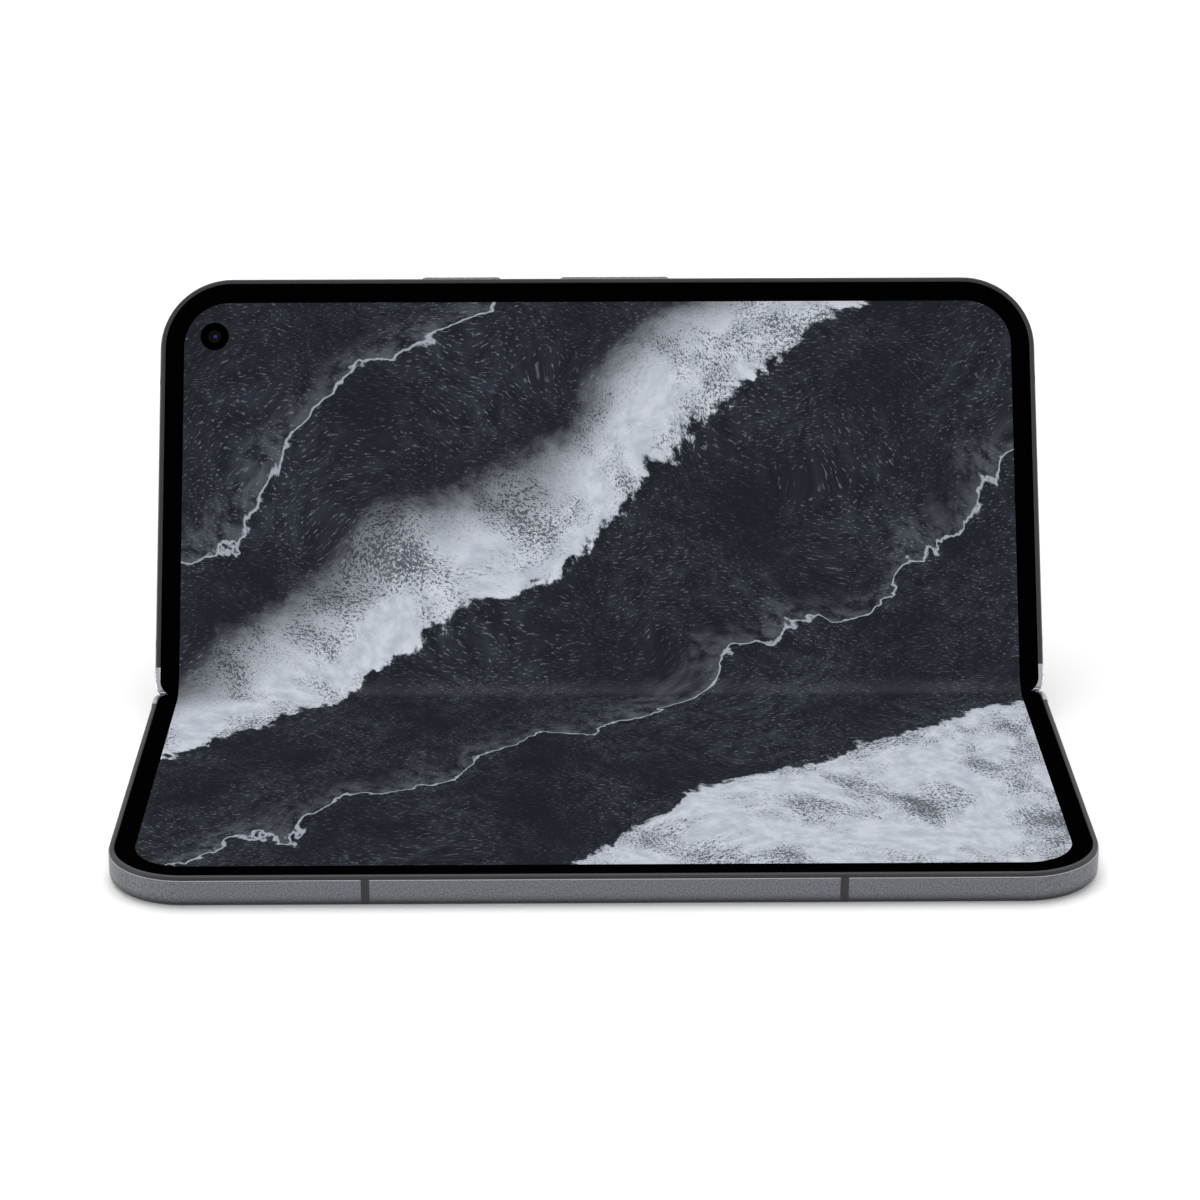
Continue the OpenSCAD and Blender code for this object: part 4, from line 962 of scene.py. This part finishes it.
class PHONE_OT_inside(bpy.types.Operator):
    """Finish the parts inside the halves and the hinge"""

    bl_idname = "phone.inside"
    bl_label = "Inner parts"

    def execute(self, context):
        steel = blasted_metal("steel", srgb(170, 172, 176), 0.3)
        dress(steel, "lower_display_plate", "upper_display_plate", "hinge_blocks", "hinge_block_screws",
              "friction_clips", "fold_support_strip", "lower_leaf_arms", "upper_leaf_arms",
              "lower_leaf_screws", "upper_leaf_screws", "lower_hinge_pins", "upper_hinge_pins",
              "volume_pivot_pin", "card_reader", "vibration_motor", "shield_cans", "charging_socket")
        brass = blasted_metal("gear_brass", srgb(190, 160, 100), 0.35)
        dress(brass, "lower_idler_gears", "upper_idler_gears")
        dress(blasted_metal("coil_copper", srgb(184, 115, 70), 0.4), "charging_coil")
        dress(moulded("battery_wrap", srgb(48, 48, 52), 0.4), "lower_battery", "upper_battery")
        dress(moulded("board", srgb(28, 66, 44), 0.45), "lower_board", "main_board")
        film = moulded("flex_film", srgb(150, 110, 50), 0.4)
        dress(film, "key_switches")
        self.flex(film)
        dress(moulded("speaker_black", srgb(30, 30, 32), 0.6), "earpiece", "loudspeaker")
        dress(moulded("camera_black", (0.01, 0.01, 0.011), 0.4), "camera_modules")
        return {"FINISHED"}

    def flex(self, film):
        """The flex through the hinge as two strips that meet in the spine: the middle line of the
        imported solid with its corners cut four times, and a thin section with rounded sides."""
        local = turned(node_points("hinge_flex"), LOWER_AXIS, -REST_TURN, (-AXIS_Y, AXIS_Z))
        order = np.unique(np.round(local[:, 1], 7))
        levels = [local[np.abs(local[:, 1] - y) < 1e-6, 2] for y in order]
        thick = min(z.max() - z.min() for z in levels)
        line = np.array([(y, (z.max() + z.min()) / 2) for y, z in zip(order, levels)])
        for _ in range(4):
            ends = line[[0, -1]]
            before, after = line[:-1], line[1:]
            cut = np.stack([0.75 * before + 0.25 * after, 0.25 * before + 0.75 * after], axis=1)
            line = np.concatenate([ends[:1], cut.reshape(-1, 2), ends[1:]])
        middle = len(line) // 2
        strips = line[:middle + 1], line[middle:]
        for (name, (_, half, side)), rows in zip(HALVES.items(), strips):
            slope = np.gradient(rows, axis=0)
            normal = np.stack([-slope[:, 1], slope[:, 0]], axis=-1)
            normal /= np.linalg.norm(normal, axis=1, keepdims=True)
            round_side = arc_points((FLEX_W / 2 - thick / 2, 0), thick / 2, -90, 90, 5)
            ring = np.array(round_side + [(-x, -z) for x, z in round_side])
            flat = rows[:, None, :] + normal[:, None, :] * ring[None, :, 1:]
            x = np.broadcast_to(FLEX_X + ring[None, :, 0], flat.shape[:2])
            piece = swept(f"{name}_flex", spine_place(np.concatenate([x[..., None], flat], axis=-1)))
            finish_piece(piece, film, ("hinge_flex",) if side < 0 else ())
            start, end = spine_place(np.array([[0, side * FLEX_BEND, AXIS_Z], [0, 0, AXIS_Z]]))
            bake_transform(piece)


class PHONE_OT_rear_cameras(bpy.types.Operator):
    """Finish the camera island, its rings, lens windows and flash"""

    bl_idname = "phone.rear_cameras"
    bl_label = "Rear cameras"

    def execute(self, context):
        metal = blasted_metal("island_metal", scaled(body().metal, 0.95), 0.4)
        dress(metal, "camera_island")
        dress(blasted_metal("ring_metal", scaled(body().metal, 1.3), 0.2), "camera_rings")
        clear = Finish("lens_window", transmission_weight=1.0, roughness=0.02,
                       specular_ior_level=0.12).material
        matte = moulded("lens_well", (0.004, 0.004, 0.0045), 0.5, specular=0.2)
        # painted reflection: the rear lenses' coloured coating reflection is painted in their base colour
        lens_painted_reflection = painted_reflection_lens("rear_lens", (0.003, 0.002, 0.012), (0.012, 0.02, 0.07))
        places = part_places("camera_lenses")
        radius = (places[1][0] - places[0][0]) * REAR_WINDOW_SHARE
        window, well, lens = self.sections(radius)
        for i, (x, y, face) in enumerate(places, start=1):
            for kind, section, material, slot in (
                    ("window", window, clear, "lens_glass"),
                    ("well", well, matte, "camera_black"),
                    ("lens", lens, lens_painted_reflection, "lens_glass")):
                piece = revolved(f"rear_{kind}_{i}", [(r, face + depth) for r, depth in section], (x, y))
                nodes = ("camera_lenses",) if kind == "window" and i == 1 else ()
                finish_piece(piece, material, nodes, "upper_half")
        self.flash()
        return {"FINISHED"}

    def sections(self, radius):
        """Sections of the clear window, the stepped well and its coated lens; depth goes in."""
        edge = 0.05 * MM
        window = [(POLE_R, 0), (radius - edge, 0), (radius, edge), (radius, REAR_WINDOW_T),
                  (POLE_R, REAR_WINDOW_T)]
        well = [(max(POLE_R, out * radius), depth * MM) for out, depth in REAR_WELL]
        lens_r = REAR_LENS_SHARE * radius
        lens = dome(lens_r, REAR_LENS_DEPTH, -REAR_LENS_BULGE)
        return window, well, [(lens_r, REAR_LENS_DEPTH + 0.04 * MM), *lens]

    def flash(self):
        """The flash window: a shallow lens with rings pressed into it."""
        x, y, face = part_places("flash_lens")[0]
        radius = half_width("flash_lens")
        steps = np.linspace(1, 0.02, 8 * FLASH_RINGS)
        ridge = FLASH_RIDGE * np.abs(np.sin(steps * FLASH_RINGS * math.pi))
        profile = [(radius, face + FLASH_BACK), *zip(radius * steps, face + FLASH_FACE - ridge)]
        cream = moulded("flash_cream", srgb(236, 224, 186), 0.25)
        piece = revolved("flash_window", profile, (x, y))
        finish_piece(piece, cream, ("flash_lens",), "upper_half")


class PHONE_OT_stage(bpy.types.Operator):
    """Make the white floor, the soft lights, the sky and the camera"""

    bl_idname = "phone.stage"
    bl_label = "Stage"

    def execute(self, context):
        context.scene.view_settings.view_transform = "Standard"
        look = stage()
        self.floor(look)
        self.sky(context, look)
        self.lamp("wide_lamp", WIDE_LAMP, look.lamp, look.lamp_width)
        for name, (towards, part) in SIDE_LAMPS.items():
            self.lamp(name, towards, part * look.lamp, look.side_lamp_width)
        self.camera(context)
        return {"FINISHED"}

    def seen(self, tree):
        """Socket that is 1 for what the camera sees, directly, mirrored or through glass."""
        paths = tree.nodes.new("ShaderNodeLightPath")
        socket = paths.outputs["Is Camera Ray"]
        for name in ("Is Glossy Ray", "Is Transmission Ray"):
            most = tree.nodes.new("ShaderNodeMath")
            most.operation = "MAXIMUM"
            tree.links.new(socket, most.inputs[0])
            tree.links.new(paths.outputs[name], most.inputs[1])
            socket = most.outputs[0]
        return socket

    def floor(self, look):
        half = look.floor_size / 2
        points = half * np.array([(-1, -1, 0), (1, -1, 0), (1, 1, 0), (-1, 1, 0)])
        floor = new_piece("floor", points, [[0, 1, 2, 3]])
        finish = Finish("floor", roughness=1.0, specular_ior_level=0.0, emission_color=(1, 1, 1))
        seen = Number(finish, self.seen(finish.tree))
        finish.set("Base Color", finish.mix(seen, [look.floor_bounce] * 3, [look.floor_seen] * 3))
        finish.set("Emission Strength", seen * look.floor_glow)
        floor.data.materials.append(finish.material)

    def sky(self, context, look):
        world = bpy.data.worlds.new("sky")
        context.scene.world = world
        world.use_nodes = True
        tree = world.node_tree
        background = tree.nodes["Background"]
        background.inputs["Color"].default_value = (1, 1, 1, 1)
        span = tree.nodes.new("ShaderNodeMapRange")
        span.inputs["To Min"].default_value = look.sky
        span.inputs["To Max"].default_value = 1.0
        tree.links.new(self.seen(tree), span.inputs["Value"])
        tree.links.new(span.outputs[0], background.inputs["Strength"])

    def lamp(self, name, towards, strength, width):
        """A far lamp in a direction, spread over an angle; strength 1 shows colours as written."""
        light = bpy.data.lights.new(name, "SUN")
        light.energy = strength * math.pi
        light.angle = width
        lamp = bpy.data.objects.new(name, light)
        lamp.location = towards
        lamp.rotation_euler = lamp.location.to_track_quat("Z", "Y").to_euler()
        bpy.context.scene.collection.objects.link(lamp)

    def camera(self, context):
        pitch, turn, roll = (math.radians(v) for v in CAMERA_TURNS)
        level = np.array([math.cos(turn), -math.sin(turn), 0])
        forth = np.array([math.sin(turn), math.cos(turn), 0])
        ahead = math.cos(pitch) * forth + (0, 0, -math.sin(pitch))
        above = np.cross(level, ahead)
        right = math.cos(roll) * level + math.sin(roll) * above
        up = math.cos(roll) * above - math.sin(roll) * level
        camera = bpy.data.objects.new("camera", bpy.data.cameras.new("camera"))
        camera.data.lens = CAMERA_LENS
        camera.data.sensor_width = CAMERA_SENSOR
        columns = np.stack([right, up, -ahead, CAMERA_PLACE], axis=1)
        camera.matrix_world = Matrix([*columns, (0, 0, 0, 1)])
        context.scene.collection.objects.link(camera)
        context.scene.camera = camera


OPERATORS = (
    PHONE_OT_screen,
    PHONE_OT_borders,
    PHONE_OT_rims,
    PHONE_OT_frames,
    PHONE_OT_keys,
    PHONE_OT_screen_camera,
    PHONE_OT_rear_cameras,
    PHONE_OT_inside,
    PHONE_OT_stage,
)


class VIEW3D_PT_phone(bpy.types.Panel):
    """Lists the groups of pieces and their settings"""

    bl_label = "Foldable phone"
    bl_space_type = "VIEW_3D"
    bl_region_type = "UI"
    bl_category = "Phone"

    def draw(self, context):
        for operator in OPERATORS:
            self.layout.operator(operator.bl_idname)
        for name, group in GROUPS.items():
            for prop in group.__annotations__:
                self.layout.prop(getattr(context.scene, name), prop)


CLASSES = (*GROUPS.values(), *OPERATORS, VIEW3D_PT_phone)


def register():
    for made in CLASSES:
        bpy.utils.register_class(made)
    for name, group in GROUPS.items():
        setattr(bpy.types.Scene, name, bpy.props.PointerProperty(type=group))


def unregister():
    for name in GROUPS:
        delattr(bpy.types.Scene, name)
    for made in reversed(CLASSES):
        bpy.utils.unregister_class(made)


def main():
    register()
    for operator in OPERATORS:
        group, name = operator.bl_idname.split(".")
        if getattr(getattr(bpy.ops, group), name)() != {"FINISHED"}:
            raise RuntimeError(f"{operator.bl_label} could not be made")


if __name__ == "__main__":
    main()
